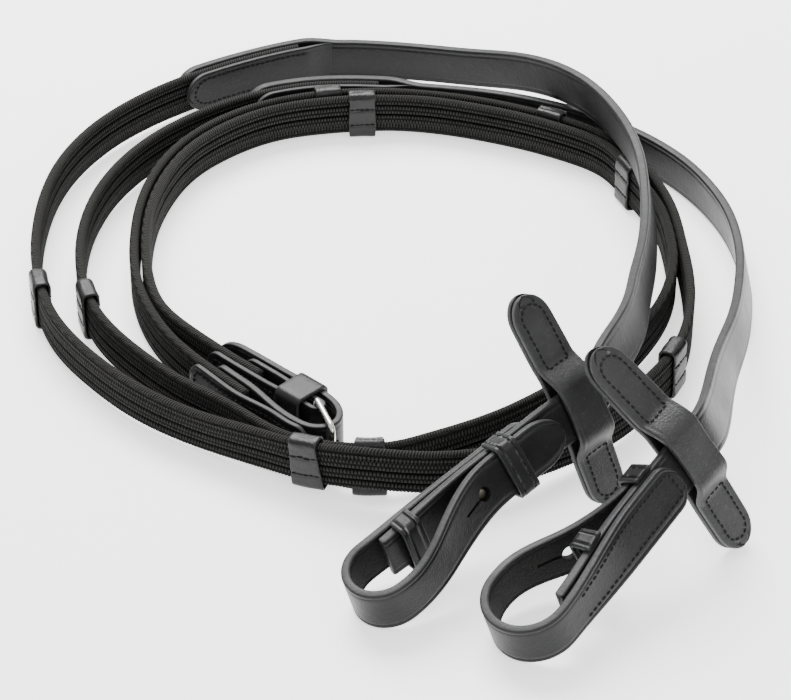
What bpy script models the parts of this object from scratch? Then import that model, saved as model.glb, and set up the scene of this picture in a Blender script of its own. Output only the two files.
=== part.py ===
"""A pair of web-grip bridle reins, coiled together and standing on their edges.

Each rein is one flat strap: a leather front with a hook-stud bit end, then ribbed
cotton web with leather hand stops.  A buckle joins the two webs.  Every piece is
drawn flat, as it lies on the bench, and then laid along its rein's route.
Units are metres, +Z is up, and the coil rests on the plane z = 0.
"""
import math

import bmesh
import bpy
import numpy as np
from mathutils import Matrix, Vector

MM = 0.001

# Straps
STRAP_WIDTH = 16 * MM
LEATHER = 3.4 * MM
BILLET_LEATHER = 2.9 * MM
WEB_THICKNESS = 3.4 * MM
THIN_LEATHER = 1.9 * MM
GAP = 0.3 * MM
SEAM = 0.7 * MM
EDGE_ROUNDING = 0.7 * MM

# Bit ends, measured along the rein from the outside of the loop's round end
REIN_START = 17 * MM
STUD_AT = 52 * MM
STOP_REGION = 112 * MM
BILLET_SLACK = 1.2 * MM
UPPER_KEEPER_AT = 66.5 * MM
TWIST_FROM = 13.5 * MM
TWIST_TO = 56 * MM
KEEPER_WIDTH = 7.5 * MM
KEEPER_LEATHER = 1.4 * MM
KEEPER_CLEARANCE = 0.4 * MM

HOLE_RADIUS = 2.4 * MM
SLIT_LENGTH = 9 * MM
SLIT_WIDTH = 0.9 * MM

# Rein stops (martingale stops)
STOP_CLEARANCE = 0.6 * MM
STOP_BEND_ROOM = 1.9 * MM
STOP_WIDTH = 14.5 * MM
STOP_LEATHER = 2.2 * MM
STOP_BRIDGE_HALF = 9.9 * MM
STOP_WING_STARTS = 14.2 * MM

STUD_HEIGHT = 4.5 * MM

# Webs and what is sewn on them
HAND_STOP_WIDTH = 10.5 * MM
HAND_STOP_LEATHER = 1.1 * MM
HAND_STOP_CLEARANCE = 0.55 * MM
SPLICE_OVERLAP = 52 * MM
SPLICE_LEAD = 18 * MM

# Buckle
BUCKLE_WIRE = 2.0 * MM
FRAME_INSIDE_HEIGHT = 17.2 * MM
FRAME_LENGTH = 17 * MM
TONGUE_WIRE = 1.8 * MM
TAIL_LEATHER = 2.4 * MM
BAR_PAST_WEB = 27 * MM
CHAPE_OUTER = 50 * MM
CHAPE_INNER = 38 * MM
CENTRE_KEEPER_AT = 9 * MM
CENTRE_KEEPER_WIDTH = 11 * MM
FRAME_TURN = 27

# The routes are drawn from a point inside the coil; this puts the part's box over the origin.
ROUTE_ORIGIN = Vector((-2.0 * MM, 15.0 * MM, -0.2 * MM))

COLLECTION = "bridle_reins"
CUTTERS = "bridle_reins_cutters"

# A bit end: tip x, y, height of the strap's middle line, azimuth, pitch (degrees),
# lean at the tip and at the rein stop, and the side that the loop opens to (+1 is
# left of the rein's direction).  Then, in mm from the tip: the end of the straight,
# the loop's bulge and where it closes, the ends of the billet's sewn and free sides
# and its hole, the fixed keeper and its room, and the rein stop with half its length,
# its rise, wing bends and skew.
BIT_ENDS = (
    {"tip": (-15.7, -140.3, 7.9), "azimuth": 37.0, "pitch": 17.5, "lean": (-1, 25), "side": -1,
     "straight": 84.0, "bulge": 21.9, "closing": (11, 63), "seam_end": 81.0, "point_at": 87.0, "hole_at": 52.0,
     "keeper_at": 26.5, "keeper_room": 2.6, "stop_at": 97.7, "stop_half": 38.5, "stop_rise": 1.6,
     "wing_bend": (9, 6), "skew": 6},
    {"tip": (40.6, -169.6, 8.5), "azimuth": 50.6, "pitch": 19.0, "lean": (4, 31), "side": 1,
     "straight": 90.0, "bulge": 26.5, "closing": (16, 66), "seam_end": 74.5, "point_at": 73.5, "hole_at": 38.5,
     "keeper_at": 38.0, "keeper_room": 4.4, "stop_at": 85.0, "stop_half": 40.7, "stop_rise": 1.6,
     "wing_bend": (17, 4), "skew": 2},
)

# Coils, from the end of the straight: x, y, lift of the lower edge, lean (mm, degrees).
COILS = (
    ((60.2, -82.8, 29.6, 25), (68.2, -66.6, 32.7, 25), (74.4, -51.0, 31.8, 24), (79.5, -34.0, 29.5, 22),
     (82.9, -13.9, 26.1, 19),
     (86.7, 8.0, 22.7, 16), (89.7, 32.0, 20.2, 14), (90.9, 55.6, 19.5, 12), (90.4, 74.9, 19.7, 10),
     (87.8, 92.6, 19.9, 9), (83.1, 110.3, 19.4, 8), (75.3, 127.8, 19.2, 7), (64.0, 145.0, 17.3, 6),
     (48.9, 162.2, 12.3, 5), (32.0, 176.3, 6.2, 4), (13.5, 187.2, 2.2, 2), (-6.7, 193.5, 0.5, 0),
     (-29.5, 192.8, 1.0, 0), (-47.2, 185.7, 1.6, 0), (-67.4, 174.7, 1.6, 0), (-90.9, 157.1, 1.6, 0),
     (-112.0, 132.6, 1.6, 0), (-125.9, 101.1, 1.6, 0), (-130.5, 64.0, 1.6, 0), (-127.6, 27.8, 1.6, 0),
     (-117.9, -3.4, 1.6, 0), (-102.7, -26.5, 1.6, -2), (-83.4, -46.7, 1.6, -4), (-63.2, -60.6, 1.6, -7),
     (-44.3, -72.3, 3.5, -4), (-28.9, -80.8, 4.7, -1), (-11.0, -87.6, 7.1, 0), (10.1, -88.5, 6.0, 0),
     (32.0, -83.8, 4.5, 3), (52.2, -72.3, 3.0, 4), (70.7, -57.3, 1.7, 4), (85.9, -38.7, 1.6, 3),
     (96.8, -19.4, 1.6, 2), (102.3, 1.7, 1.6, 0), (104.0, 23.6, 1.6, 0), (103.4, 45.5, 1.6, 0),
     (101.7, 67.4, 1.6, 0), (97.5, 86.3, 1.6, 0), (91.8, 102.3, 1.6, 0), (82.8, 116.6, 1.6, 0),
     (67.7, 129.9, 1.6, 0), (50.7, 139.3, 1.6, 0), (32.1, 146.8, 1.6, 0), (12.6, 151.7, 1.6, 0),
     (-8.4, 153.7, 1.6, 0), (-30.3, 151.2, 1.6, 0), (-50.5, 144.0, 1.6, 0), (-67.4, 131.8, 1.6, 0),
     (-80.4, 115.8, 1.6, 0), (-89.3, 95.2, 1.6, 0), (-93.9, 70.7, 1.6, 0), (-94.3, 45.5, 1.6, 0),
     (-91.4, 21.1, 1.6, 0), (-85.1, 0.8, 1.6, 0), (-76.4, -16.6, 2.2, 0), (-67.6, -29.4, 2.7, 0),
     (-58.6, -40.2, 2.9, 0), (-49.9, -50.0, 2.9, 0)),
    ((100.4, -90.0, 28.5, 31), (104.9, -68.0, 23.0, 28), (111.3, -37.1, 14.3, 22),
     (117.8, -11.8, 8.8, 18), (122.3, 12.6, 4.2, 16), (124.6, 32.0, 1.7, 14), (124.8, 50.5, 0.5, 10),
     (122.5, 69.1, 0.3, 7), (117.5, 85.9, 0.3, 5), (110.7, 100.6, 0.3, 3), (101.9, 113.7, 0.3, 2),
     (90.5, 125.9, 0.3, 0), (76.6, 136.8, 0.3, 0), (58.9, 146.5, 0.3, 0), (38.7, 153.9, 0.3, 0),
     (16.8, 158.3, 0.3, 0), (-6.7, 160.9, 0.5, 0), (-30.3, 159.5, 1.2, 0), (-48.8, 153.7, 1.6, 0),
     (-67.4, 143.2, 1.6, 0), (-85.9, 126.7, 1.6, 0), (-101.1, 104.4, 1.6, 0), (-110.7, 77.5, 1.6, 0),
     (-113.7, 49.7, 1.6, 0), (-110.7, 21.1, 1.6, 0), (-102.3, -2.5, 1.6, 0), (-88.4, -22.7, 1.6, 0),
     (-71.2, -41.3, 1.6, 0), (-53.9, -56.0, 1.6, 2), (-39.2, -69.3, 1.6, 0), (-27.0, -75.8, 1.8, 0),
     (-13.5, -80.0, 1.9, 16), (0.0, -79.3, 1.9, 23), (10.5, -75.2, 1.9, 23), (20.6, -69.8, 1.7, 20),
     (33.7, -61.5, 1.6, 12),
     (47.2, -50.5, 1.6, 6), (62.3, -36.6, 1.6, 3), (75.3, -23.2, 1.6, 0), (85.0, -8.6, 1.6, 0),
     (92.8, 7.2, 1.6, 0), (97.4, 22.2, 1.6, 0), (99.4, 36.2, 1.6, 0), (99.3, 50.5, 1.6, 0),
     (97.5, 67.4, 1.6, 0), (92.6, 83.9, 1.6, 0), (86.7, 99.2, 1.6, 0), (79.6, 113.3, 1.6, 0),
     (64.8, 125.5, 1.6, 0), (48.4, 134.6, 1.6, 0), (30.7, 141.8, 1.6, 0), (12.2, 147.0, 1.6, 0),
     (-8.4, 148.4, 1.6, 0), (-29.1, 145.9, 1.6, 0), (-48.0, 139.8, 1.6, 0), (-64.0, 128.3, 1.6, 0),
     (-76.5, 113.3, 1.6, 0), (-85.1, 93.5, 1.6, 0), (-89.7, 70.3, 1.6, 0), (-90.1, 45.9, 1.6, 0),
     (-87.2, 22.3, 1.6, 0), (-81.7, 4.6, 1.6, 0), (-73.4, -8.4, 2.2, 0), (-63.6, -20.2, 2.7, 0),
     (-54.8, -29.6, 2.9, 0), (-45.5, -38.7, 2.9, 0)),
)

# The point strap from the end of the first web through the buckle: x, y (mm).
POINT_STRAP = ((-38.4, -60.4), (-32.2, -66.7), (-27.4, -69.6), (-22.6, -69.4), (-19.2, -66.4), (-18.4, -61.5),
               (-20.0, -56.5), (-23.6, -51.5), (-28.7, -46.3), (-36.5, -39.1), (-45.1, -30.9), (-53.0, -23.6),
               (-60.3, -17.0))
POINT_HEIGHT = 10.9
POINT_ON_WEB = 20 * MM
LINER_ON_WEB = 26 * MM

# Where each web starts (x, y in mm).
WEB_STARTS = ((-39.5, 189.2), (-7.0, 160.0))

# Hand stops: the place on each web (x, y in mm) and how far along to start looking.
HAND_STOPS = (
    ((-125.4, 18.0, 0.5), (-27.6, -79.6, 0.7), (94.3, -24.0, 0.8), (60.0, 134.5, 1.0), (-26.5, 152.0, 1.1)),
    ((-106.5, 12.0, 0.5), (-8.5, -80.4, 0.7), (75.5, -23.0, 0.8), (88.6, 97.0, 0.9), (-13.2, 148.8, 1.1)),
)


class Route:
    """The middle line of a flat strap, with its lean, by distance along it."""

    def __init__(self, points, start_tangent=None, samples=6000):
        points = np.array(points, dtype=float)
        chords = np.linalg.norm(np.diff(points[:, :3], axis=0), axis=1)
        knots = np.concatenate(([0.0], np.cumsum(chords)))
        fine = np.linspace(0.0, knots[-1], samples)
        columns = []
        for column in range(points.shape[1]):
            slope = None if start_tangent is None else start_tangent[column]
            columns.append(smooth_curve(knots, points[:, column], fine, slope))
        self.finish(np.array(columns).T)

    def finish(self, table):
        steps = np.linalg.norm(np.diff(table[:, :3], axis=0), axis=1)
        self.table = table
        self.at = np.concatenate(([0.0], np.cumsum(steps)))
        self.length = float(self.at[-1])

    def extended_back(self, line):
        """The same route with a straight stretch, given as sampled rows, in front."""
        longer = object.__new__(Route)
        longer.finish(np.vstack((line, self.table[1:])))
        return longer

    def row(self, distance):
        return [np.interp(distance, self.at, self.table[:, k]) for k in range(self.table.shape[1])]

    def frame(self, distance):
        """Point, direction, left face normal and width direction at a distance."""
        near = 0.5 * MM
        here = self.row(distance)
        ahead = self.row(min(distance + near, self.length))
        behind = self.row(max(distance - near, 0.0))
        tangent = (Vector(ahead[:3]) - Vector(behind[:3])).normalized()
        left = Vector((-tangent.y, tangent.x, 0.0)).normalized()
        upward = tangent.cross(left)
        lean = math.radians(here[3])
        width = math.cos(lean) * upward + math.sin(lean) * left
        normal = math.cos(lean) * left - math.sin(lean) * upward
        return Vector(here[:3]), tangent, normal, width

    def place(self, along, out, across):
        along = float(along)
        point, tangent, normal, width = self.frame(min(max(along, 0.0), self.length))
        overrun = along - min(max(along, 0.0), self.length)
        return point + overrun * tangent + out * normal + across * width

    def place_wide(self, along, across):
        return self.place(along, 0.0, across)

    def nearest(self, x, y, after=0.0):
        """Distance along the route of the place that is nearest to x, y in plan."""
        reach = np.hypot(self.table[:, 0] - x * MM, self.table[:, 1] - y * MM)
        reach = np.where(self.at < after, 1.0, reach)
        return float(self.at[int(np.argmin(reach))])


def smooth_curve(knots, values, fine, start_slope=None):
    """Cubic spline through the values, with a free or a given slope at its start."""
    count = len(knots)
    spans = np.diff(knots)
    rises = np.diff(values) / spans
    system = np.zeros((count, count))
    right = np.zeros(count)
    for k in range(1, count - 1):
        system[k, k - 1] = spans[k]
        system[k, k] = 2 * (spans[k - 1] + spans[k])
        system[k, k + 1] = spans[k - 1]
        right[k] = 3 * (spans[k] * rises[k - 1] + spans[k - 1] * rises[k])
    if start_slope is None:
        system[0, :2] = (2, 1)
        right[0] = 3 * rises[0]
    else:
        system[0, 0] = 1
        right[0] = start_slope
    system[-1, -2:] = (1, 2)
    right[-1] = 3 * rises[-1]
    slopes = np.linalg.solve(system, right)
    span = np.clip(np.searchsorted(knots, fine, side="right") - 1, 0, count - 2)
    width = spans[span]
    part = (fine - knots[span]) / width
    first, last = values[span], values[span + 1]
    steep, level = slopes[span] * width, slopes[span + 1] * width
    return (first * (2 * part**3 - 3 * part**2 + 1) + steep * (part**3 - 2 * part**2 + part)
            + last * (3 * part**2 - 2 * part**3) + level * (part**3 - part**2))


def middle_height(lift, lean):
    """Height of a leaning strap's middle line when its lower corner has this lift."""
    lean = math.radians(lean)
    return lift + STRAP_WIDTH / 2 * math.cos(lean) + WEB_THICKNESS / 2 * abs(math.sin(lean))


def ease(part):
    part = min(max(part, 0.0), 1.0)
    return part * part * (3 - 2 * part)


def rein_route(bit_end, coil):
    """The straight bit end, then the coil, as one route from the loop's tip."""
    azimuth = math.radians(bit_end["azimuth"])
    pitch = math.radians(bit_end["pitch"])
    heading = Vector((math.cos(azimuth) * math.cos(pitch), math.sin(azimuth) * math.cos(pitch), math.sin(pitch)))
    tip = Vector(bit_end["tip"]) * MM
    straight = bit_end["straight"] * MM
    line = []
    for step in range(400):
        distance = straight * step / 399
        turned = ease((distance - TWIST_FROM) / (TWIST_TO - TWIST_FROM))
        lean = bit_end["lean"][0] + (bit_end["lean"][1] - bit_end["lean"][0]) * turned
        line.append([*(tip + distance * heading), lean])
    points = [line[-1]]
    for x, y, lift, lean in coil:
        points.append([x * MM, y * MM, middle_height(lift * MM, lean), lean])
    route = Route(points, start_tangent=[*heading, 0.0])
    return route.extended_back(np.array(line))


# Building blocks

def new_material(name, color, roughness, metallic=0.0):
    material = bpy.data.materials.get(name)
    if material is None:
        material = bpy.data.materials.new(name)
        material.use_nodes = True
        shader = material.node_tree.nodes["Principled BSDF"]
        shader.inputs["Base Color"].default_value = (*color, 1.0)
        shader.inputs["Roughness"].default_value = roughness
        shader.inputs["Metallic"].default_value = metallic
    return material


def leather_material(name):
    return new_material(name + "_leather", (0.020, 0.020, 0.021), 0.42)


def web_material(name):
    return new_material(name + "_cotton", (0.012, 0.012, 0.013), 0.92)


def metal_material(name):
    return new_material(name + "_nickel", (0.78, 0.77, 0.74), 0.18, 1.0)


def finish_object(obj, name, material, origin):
    """Name the piece, give it its material and put its origin at a world point."""
    obj.name = name
    obj.data.name = name
    obj.data.materials.clear()
    obj.data.materials.append(material)
    for vertex in obj.data.vertices:
        vertex.co -= origin
    obj.location = origin
    for collection in list(obj.users_collection):
        collection.objects.unlink(obj)
    bpy.data.collections[COLLECTION].objects.link(obj)
    obj.data.shade_smooth()
    obj.data.set_sharp_from_angle(angle=math.radians(35))
    return obj


def solid_sheet(obj, thickness, rounding, offset=0.0):
    solidify = obj.modifiers.new("thickness", "SOLIDIFY")
    solidify.thickness = thickness
    solidify.offset = offset
    solidify.use_even_offset = True
    if rounding:
        bevel = obj.modifiers.new("edges", "BEVEL")
        bevel.width = rounding
        bevel.segments = 1
        bevel.limit_method = "ANGLE"
        bevel.angle_limit = math.radians(50)
        bevel.harden_normals = False


def ribbon(name, placer, stations, half_width, thickness, material, rounding=EDGE_ROUNDING, rows=1):
    """A flat strap: a grid laid along its stations, then given its thickness.

    placer(along, side) gives a world point; side runs from -half_width to half_width.
    """
    count = len(stations) - 1
    bpy.ops.mesh.primitive_grid_add(x_subdivisions=count, y_subdivisions=rows, size=1.0)
    obj = bpy.context.object
    for vertex in obj.data.vertices:
        station = stations[round((vertex.co.x + 0.5) * count)]
        side = 2 * vertex.co.y * half_width(station)
        vertex.co = placer(station, side)
    middle = placer(stations[count // 2], 0.0)
    finish_object(obj, name, material, middle)
    solid_sheet(obj, thickness, rounding)
    return obj


def strap_stations(start, end, spacing, round_start=0.0, round_end=0.0):
    """Even stations, closer together where an end is rounded."""
    inner_start = start + round_start
    inner_end = end - round_end
    count = max(1, round((inner_end - inner_start) / spacing))
    stations = [inner_start + (inner_end - inner_start) * k / count for k in range(count + 1)]
    closer = (0.03, 0.13, 0.30, 0.55, 0.80)
    if round_start:
        stations = [start + round_start * part for part in (0.0, *closer)] + stations
    if round_end:
        stations += [end - round_end * part for part in (*reversed(closer), 0.0)]
    return stations


def rounded_ends(start, end, round_start=0.0, round_end=0.0, width=STRAP_WIDTH):
    """Half the width at a station of a strap with elliptical ends."""
    def half(station):
        part = 1.0
        if round_start and station < start + round_start:
            left = (start + round_start - station) / round_start
            part = math.sqrt(max(1 - left * left, 0.012))
        if round_end and station > end - round_end:
            left = (station - end + round_end) / round_end
            part = min(part, math.sqrt(max(1 - left * left, 0.012)))
        return width / 2 * part
    return half


def rounded_rectangle(half_out, half_across, radius, turns=3):
    """Corner points of a rounded rectangle, counter-clockwise from its right side."""
    points = []
    for quarter, (sign_out, sign_across) in enumerate(((1, 1), (-1, 1), (-1, -1), (1, -1))):
        for step in range(turns):
            angle = math.radians(90 * (quarter + step / (turns - 1)))
            points.append((sign_out * (half_out - radius) + radius * math.cos(angle),
                           sign_across * (half_across - radius) + radius * math.sin(angle)))
    return points


def sleeve(name, placer, start, length, inner_out, inner_across, thickness, material, out=0.0, spans=1):
    """A closed band of leather around a strap: an open tube, made thicker outwards."""
    outline = rounded_rectangle(inner_out, inner_across, 0.7 * MM)
    bpy.ops.mesh.primitive_cylinder_add(vertices=len(outline), depth=1.0, radius=1.0, end_fill_type="NOTHING")
    obj = bpy.context.object
    mesh = bmesh.new()
    mesh.from_mesh(obj.data)
    rungs = [edge for edge in mesh.edges if abs(edge.verts[0].co.z - edge.verts[1].co.z) > 0.5]
    if spans > 1:
        bmesh.ops.subdivide_edges(mesh, edges=rungs, cuts=spans - 1)
    for vertex in mesh.verts:
        turn = math.atan2(vertex.co.x, vertex.co.y) / (2 * math.pi)
        side_out, side_across = outline[round(turn * len(outline)) % len(outline)]
        vertex.co = placer(start + (vertex.co.z + 0.5) * length, out + side_out, side_across)
    bmesh.ops.recalc_face_normals(mesh, faces=mesh.faces)
    mesh.to_mesh(obj.data)
    mesh.free()
    middle = placer(start + length / 2, out, 0.0)
    finish_object(obj, name, material, middle)
    face = obj.data.polygons[0]
    outwards = (face.center).dot(face.normal) > 0
    solid_sheet(obj, thickness, 0.35 * MM, offset=1.0 if outwards else -1.0)
    return obj


def wire_loop(name, points, wire, material, closed=True, origin=None):
    """A bent wire: a poly curve with a round section."""
    curve = bpy.data.curves.new(name, "CURVE")
    curve.dimensions = "3D"
    curve.bevel_depth = wire / 2
    curve.bevel_resolution = 2
    curve.use_fill_caps = True
    spline = curve.splines.new("POLY")
    spline.points.add(len(points) - 1)
    for point, co in zip(spline.points, points):
        point.co = (*(co - origin), 1.0)
    spline.use_cyclic_u = closed
    obj = bpy.data.objects.new(name, curve)
    obj.location = origin
    bpy.data.collections[COLLECTION].objects.link(obj)
    curve.materials.append(material)
    return obj


# Bit ends

def softened(part, first, last):
    """A straight climb from 0 to 1 that starts and stops gently."""
    part = min(max(part, 0.0), 1.0)
    total = 1 - first / 2 - last / 2
    if part < first:
        return part * part / (2 * first) / total
    if part > 1 - last:
        return 1 - (1 - part) ** 2 / (2 * last) / total
    return (part - first / 2) / total


def loop_spread(distance, bit_end):
    """Distance between the two sides of the bit loop, between middle lines."""
    start, end = bit_end["closing"]
    bulge = bit_end["bulge"] * MM
    closed = BILLET_LEATHER + LEATHER + SEAM + GAP + BILLET_SLACK
    return bulge + (closed - bulge) * softened((distance / MM - start) / (end - start), 0.4, 0.25)


def billet_path(bit_end):
    """Middle line of the billet strap in the plane of the loop, sewn side first."""
    side = bit_end["side"]
    sewn = -side * (LEATHER / 2 + SEAM + BILLET_LEATHER / 2)
    radius = bit_end["bulge"] * MM / 2
    path = []
    for along in strap_stations(radius, bit_end["seam_end"] * MM, 6 * MM, 0, 6 * MM)[::-1]:
        path.append((along, sewn))
    for step in range(1, 12):
        turn = math.pi * step / 12
        path.append((radius - radius * math.sin(turn), sewn + side * radius * (1 - math.cos(turn))))
    for along in strap_stations(radius, bit_end["point_at"] * MM, 5.5 * MM, 0, 11 * MM):
        path.append((along, sewn + side * loop_spread(along, bit_end)))
    return path


def build_billet(name, route, bit_end):
    path = billet_path(bit_end)
    steps = [math.dist(a, b) for a, b in zip(path, path[1:])]
    along = [sum(steps[:k]) for k in range(len(path))]
    where = dict(zip(along, path))

    def placer(station, side):
        distance, out = where[station]
        return route.place(distance, out, side)

    half = rounded_ends(0.0, along[-1], 6 * MM, 11 * MM)
    obj = ribbon(name, placer, along, half, BILLET_LEATHER, leather_material("billet"))
    cut_keyhole(obj, route, bit_end)
    return obj


def loop_return(route, bit_end, distance):
    """The middle of the returning side of the billet at a distance from the tip."""
    side = bit_end["side"]
    out = loop_spread(distance, bit_end) - LEATHER / 2 - SEAM - BILLET_LEATHER / 2
    return route.place(distance, side * out, 0.0)


def cut_keyhole(obj, route, bit_end):
    """The stud hole and its slit, cut through the returning side of the billet."""
    hole_at = bit_end["hole_at"] * MM
    centre = loop_return(route, bit_end, hole_at)
    slit_centre = loop_return(route, bit_end, hole_at - HOLE_RADIUS / 2 - SLIT_LENGTH / 2)
    along = (centre - slit_centre).normalized()
    width = route.frame(hole_at)[3]
    through = along.cross(width).normalized()
    width = through.cross(along)
    bpy.ops.mesh.primitive_cylinder_add(vertices=12, radius=HOLE_RADIUS, depth=8 * MM)
    hole = bpy.context.object
    add_cut(obj, hole, "_hole_cutter", centre, through.to_track_quat("Z", "Y"))
    bpy.ops.mesh.primitive_cube_add(size=1.0)
    slit = bpy.context.object
    slit.scale = (SLIT_LENGTH, 8 * MM, SLIT_WIDTH)
    add_cut(obj, slit, "_slit_cutter", slit_centre, Matrix((along, -through, width)).transposed().to_quaternion())


def build_stud(name, route, bit_end):
    """Hook stud: a riveted foot on the rein, a neck and a round head."""
    point, tangent, normal, width = route.frame(STUD_AT)
    outward = bit_end["side"] * normal
    outline = [(0.0, STUD_HEIGHT)]
    outline += [(1.5 * MM, STUD_HEIGHT - 0.1 * MM), (2.0 * MM, STUD_HEIGHT - 0.7 * MM)]
    outline += [(1.9 * MM, STUD_HEIGHT - 1.4 * MM), (1.1 * MM, STUD_HEIGHT - 1.9 * MM), (1.1 * MM, 0.8 * MM)]
    outline += [(3.0 * MM, 0.6 * MM), (3.2 * MM, 0.0), (0.0, 0.0)]
    mesh = bpy.data.meshes.new(name)
    mesh.from_pydata([(radius, 0.0, height) for radius, height in outline],
                     [(k, k + 1) for k in range(len(outline) - 1)], [])
    obj = bpy.data.objects.new(name, mesh)
    bpy.data.collections[COLLECTION].objects.link(obj)
    mesh.materials.append(metal_material("stud"))
    obj.location = point + (LEATHER / 2 + 0.25 * MM) * outward
    obj.rotation_euler = outward.to_track_quat("Z", "Y").to_euler()
    turn = obj.modifiers.new("turn", "SCREW")
    turn.axis = "Z"
    turn.steps = 16
    turn.render_steps = 16
    turn.use_merge_vertices = True
    turn.merge_threshold = 0.00001
    turn.use_smooth_shade = True
    return obj


def build_bit_end(number, route, bit_end):
    side = bit_end["side"]
    build_billet("billet_%d" % number, route, bit_end)
    build_stud("hook_stud_%d" % number, route, bit_end)
    lower_reach = LEATHER / 2 + bit_end["keeper_room"] * MM
    build_keeper("keeper_lower_%d" % number, route, bit_end["keeper_at"] * MM, side, lower_reach)
    upper_reach = LEATHER / 2 + GAP + BILLET_SLACK + BILLET_LEATHER + GAP + 2 * KEEPER_CLEARANCE
    build_keeper("keeper_upper_%d" % number, route, UPPER_KEEPER_AT, side, upper_reach)


def build_keeper(name, route, place, side, reach):
    """A band round the inner side of the rein; its ends are sewn under the billet."""
    half_across = STRAP_WIDTH / 2 + KEEPER_CLEARANCE + KEEPER_LEATHER / 2
    foot = -LEATHER / 2
    top = reach + KEEPER_LEATHER / 2
    corner = 1.6 * MM
    path = [(foot, half_across)]
    for step in range(5):
        turn = math.radians(90 * step / 4)
        path.append((top - corner + corner * math.sin(turn), half_across - corner + corner * math.cos(turn)))
    path.append((top, 0.0))
    path += [(out, -across) for out, across in path[-2::-1]]

    def placer(across, along):
        out, level = path[round(across)]
        return route.place(place + along, side * out, level)

    return ribbon(name, placer, list(range(len(path))), lambda station: KEEPER_WIDTH / 2, KEEPER_LEATHER,
                  leather_material("keeper"), rounding=0.35 * MM)


def build_rein_stop(number, route, bit_end):
    """Martingale stop: a base behind the rein and a bridge over it, sewn at the wings."""
    centre = bit_end["stop_at"] * MM
    rise = bit_end["stop_rise"] * MM
    upper, lower = (math.tan(math.radians(angle)) for angle in bit_end["wing_bend"])
    skew = math.radians(bit_end["skew"])
    under = LEATHER / 2 + STOP_BEND_ROOM + STOP_LEATHER / 2
    end = bit_end["stop_half"] * MM
    point, tangent, normal, width = route.frame(centre)

    def slope(level):
        bent = max(abs(level) - STOP_BRIDGE_HALF, 0.0)
        return (upper if level > 0 else lower) * ease(bent / (8 * MM))

    def base_out(level):
        return under + max(abs(level) - STOP_BRIDGE_HALF, 0.0) * slope(level)

    def bridge_out(level):
        over = -(LEATHER / 2 + STOP_CLEARANCE + STOP_LEATHER / 2)
        wing = base_out(level) - 1.04 * STOP_LEATHER * math.hypot(1, slope(level)) - GAP
        return over + (wing - over) * ease((abs(level) - STOP_BRIDGE_HALF) / (STOP_WING_STARTS - STOP_BRIDGE_HALF))

    wing = [end - 8.5 * MM * part for part in (0.0, 0.03, 0.13, 0.3, 0.55, 0.8, 1.0)]
    bridge = [20.5, 16.5, 14.2, 13.1, 12.0, 10.9, 9.9, 5]
    stations = [-place for place in wing] + [-place * MM - rise for place in bridge]
    stations += [place * MM - rise for place in bridge[::-1]] + wing[::-1]
    half = rounded_ends(-end, end, 8.5 * MM, 8.5 * MM, STOP_WIDTH)
    for part, out in (("base", base_out), ("bridge", bridge_out)):
        def placer(across, along, out=out):
            raised = across + rise
            level = raised * math.cos(skew) - along * math.sin(skew)
            forward = along * math.cos(skew) + raised * math.sin(skew)
            return point + forward * tangent + out(raised) * normal + level * width
        ribbon("rein_stop_%s_%d" % (part, number), placer, stations, half, STOP_LEATHER,
               leather_material("rein_stop"), rounding=0.5 * MM)


# Reins

def build_front_strap(number, route, join):
    """Leather front of a rein; its far end laps over the outside of the web."""
    lap = -(WEB_THICKNESS / 2 + GAP + LEATHER / 2)
    end = join + SPLICE_OVERLAP

    def placer(along, side):
        out = lap * ease((along - join + SPLICE_LEAD) / (SPLICE_LEAD - 3 * MM))
        return route.place(along, out, side)

    stations = strap_stations(REIN_START, STOP_REGION, 5 * MM)[:-1] + strap_stations(STOP_REGION, end, 9 * MM, 0, 9 * MM)
    half = rounded_ends(REIN_START, end, 0, 9 * MM)
    return ribbon("front_strap_%d" % number, placer, stations, half, LEATHER, leather_material("front_strap"))


def build_splice_tab(number, route, join):
    """Leather tab on the inner face of the web, opposite the front strap's lap."""
    start = join - SPLICE_LEAD + 4 * MM
    end = join + SPLICE_OVERLAP
    out = LEATHER / 2 + GAP + THIN_LEATHER / 2

    def placer(along, side):
        return route.place(along, out, side)

    stations = strap_stations(start, end, 9 * MM, 0, 9 * MM)
    half = rounded_ends(start, end, 0, 9 * MM)
    ribbon("splice_tab_%d" % number, placer, stations, half, THIN_LEATHER, leather_material("splice_tab"),
           rounding=0.5 * MM)


def build_web(number, route, join, end):
    def placer(along, side):
        return route.place(along, 0.0, side)

    stations = strap_stations(join, end, 7.5 * MM)
    return ribbon("web_%d" % number, placer, stations, lambda along: STRAP_WIDTH / 2, WEB_THICKNESS,
                  web_material("web"), rounding=1.3 * MM)


def build_hand_stops(number, route, places):
    for count, place in enumerate(places, start=1):
        sleeve("hand_stop_%d_%d" % (number, count), route.place, place - HAND_STOP_WIDTH / 2, HAND_STOP_WIDTH,
               WEB_THICKNESS / 2 + HAND_STOP_CLEARANCE, STRAP_WIDTH / 2 + HAND_STOP_CLEARANCE,
               HAND_STOP_LEATHER, leather_material("hand_stop"), spans=2)


# Buckle at the centre

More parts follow.
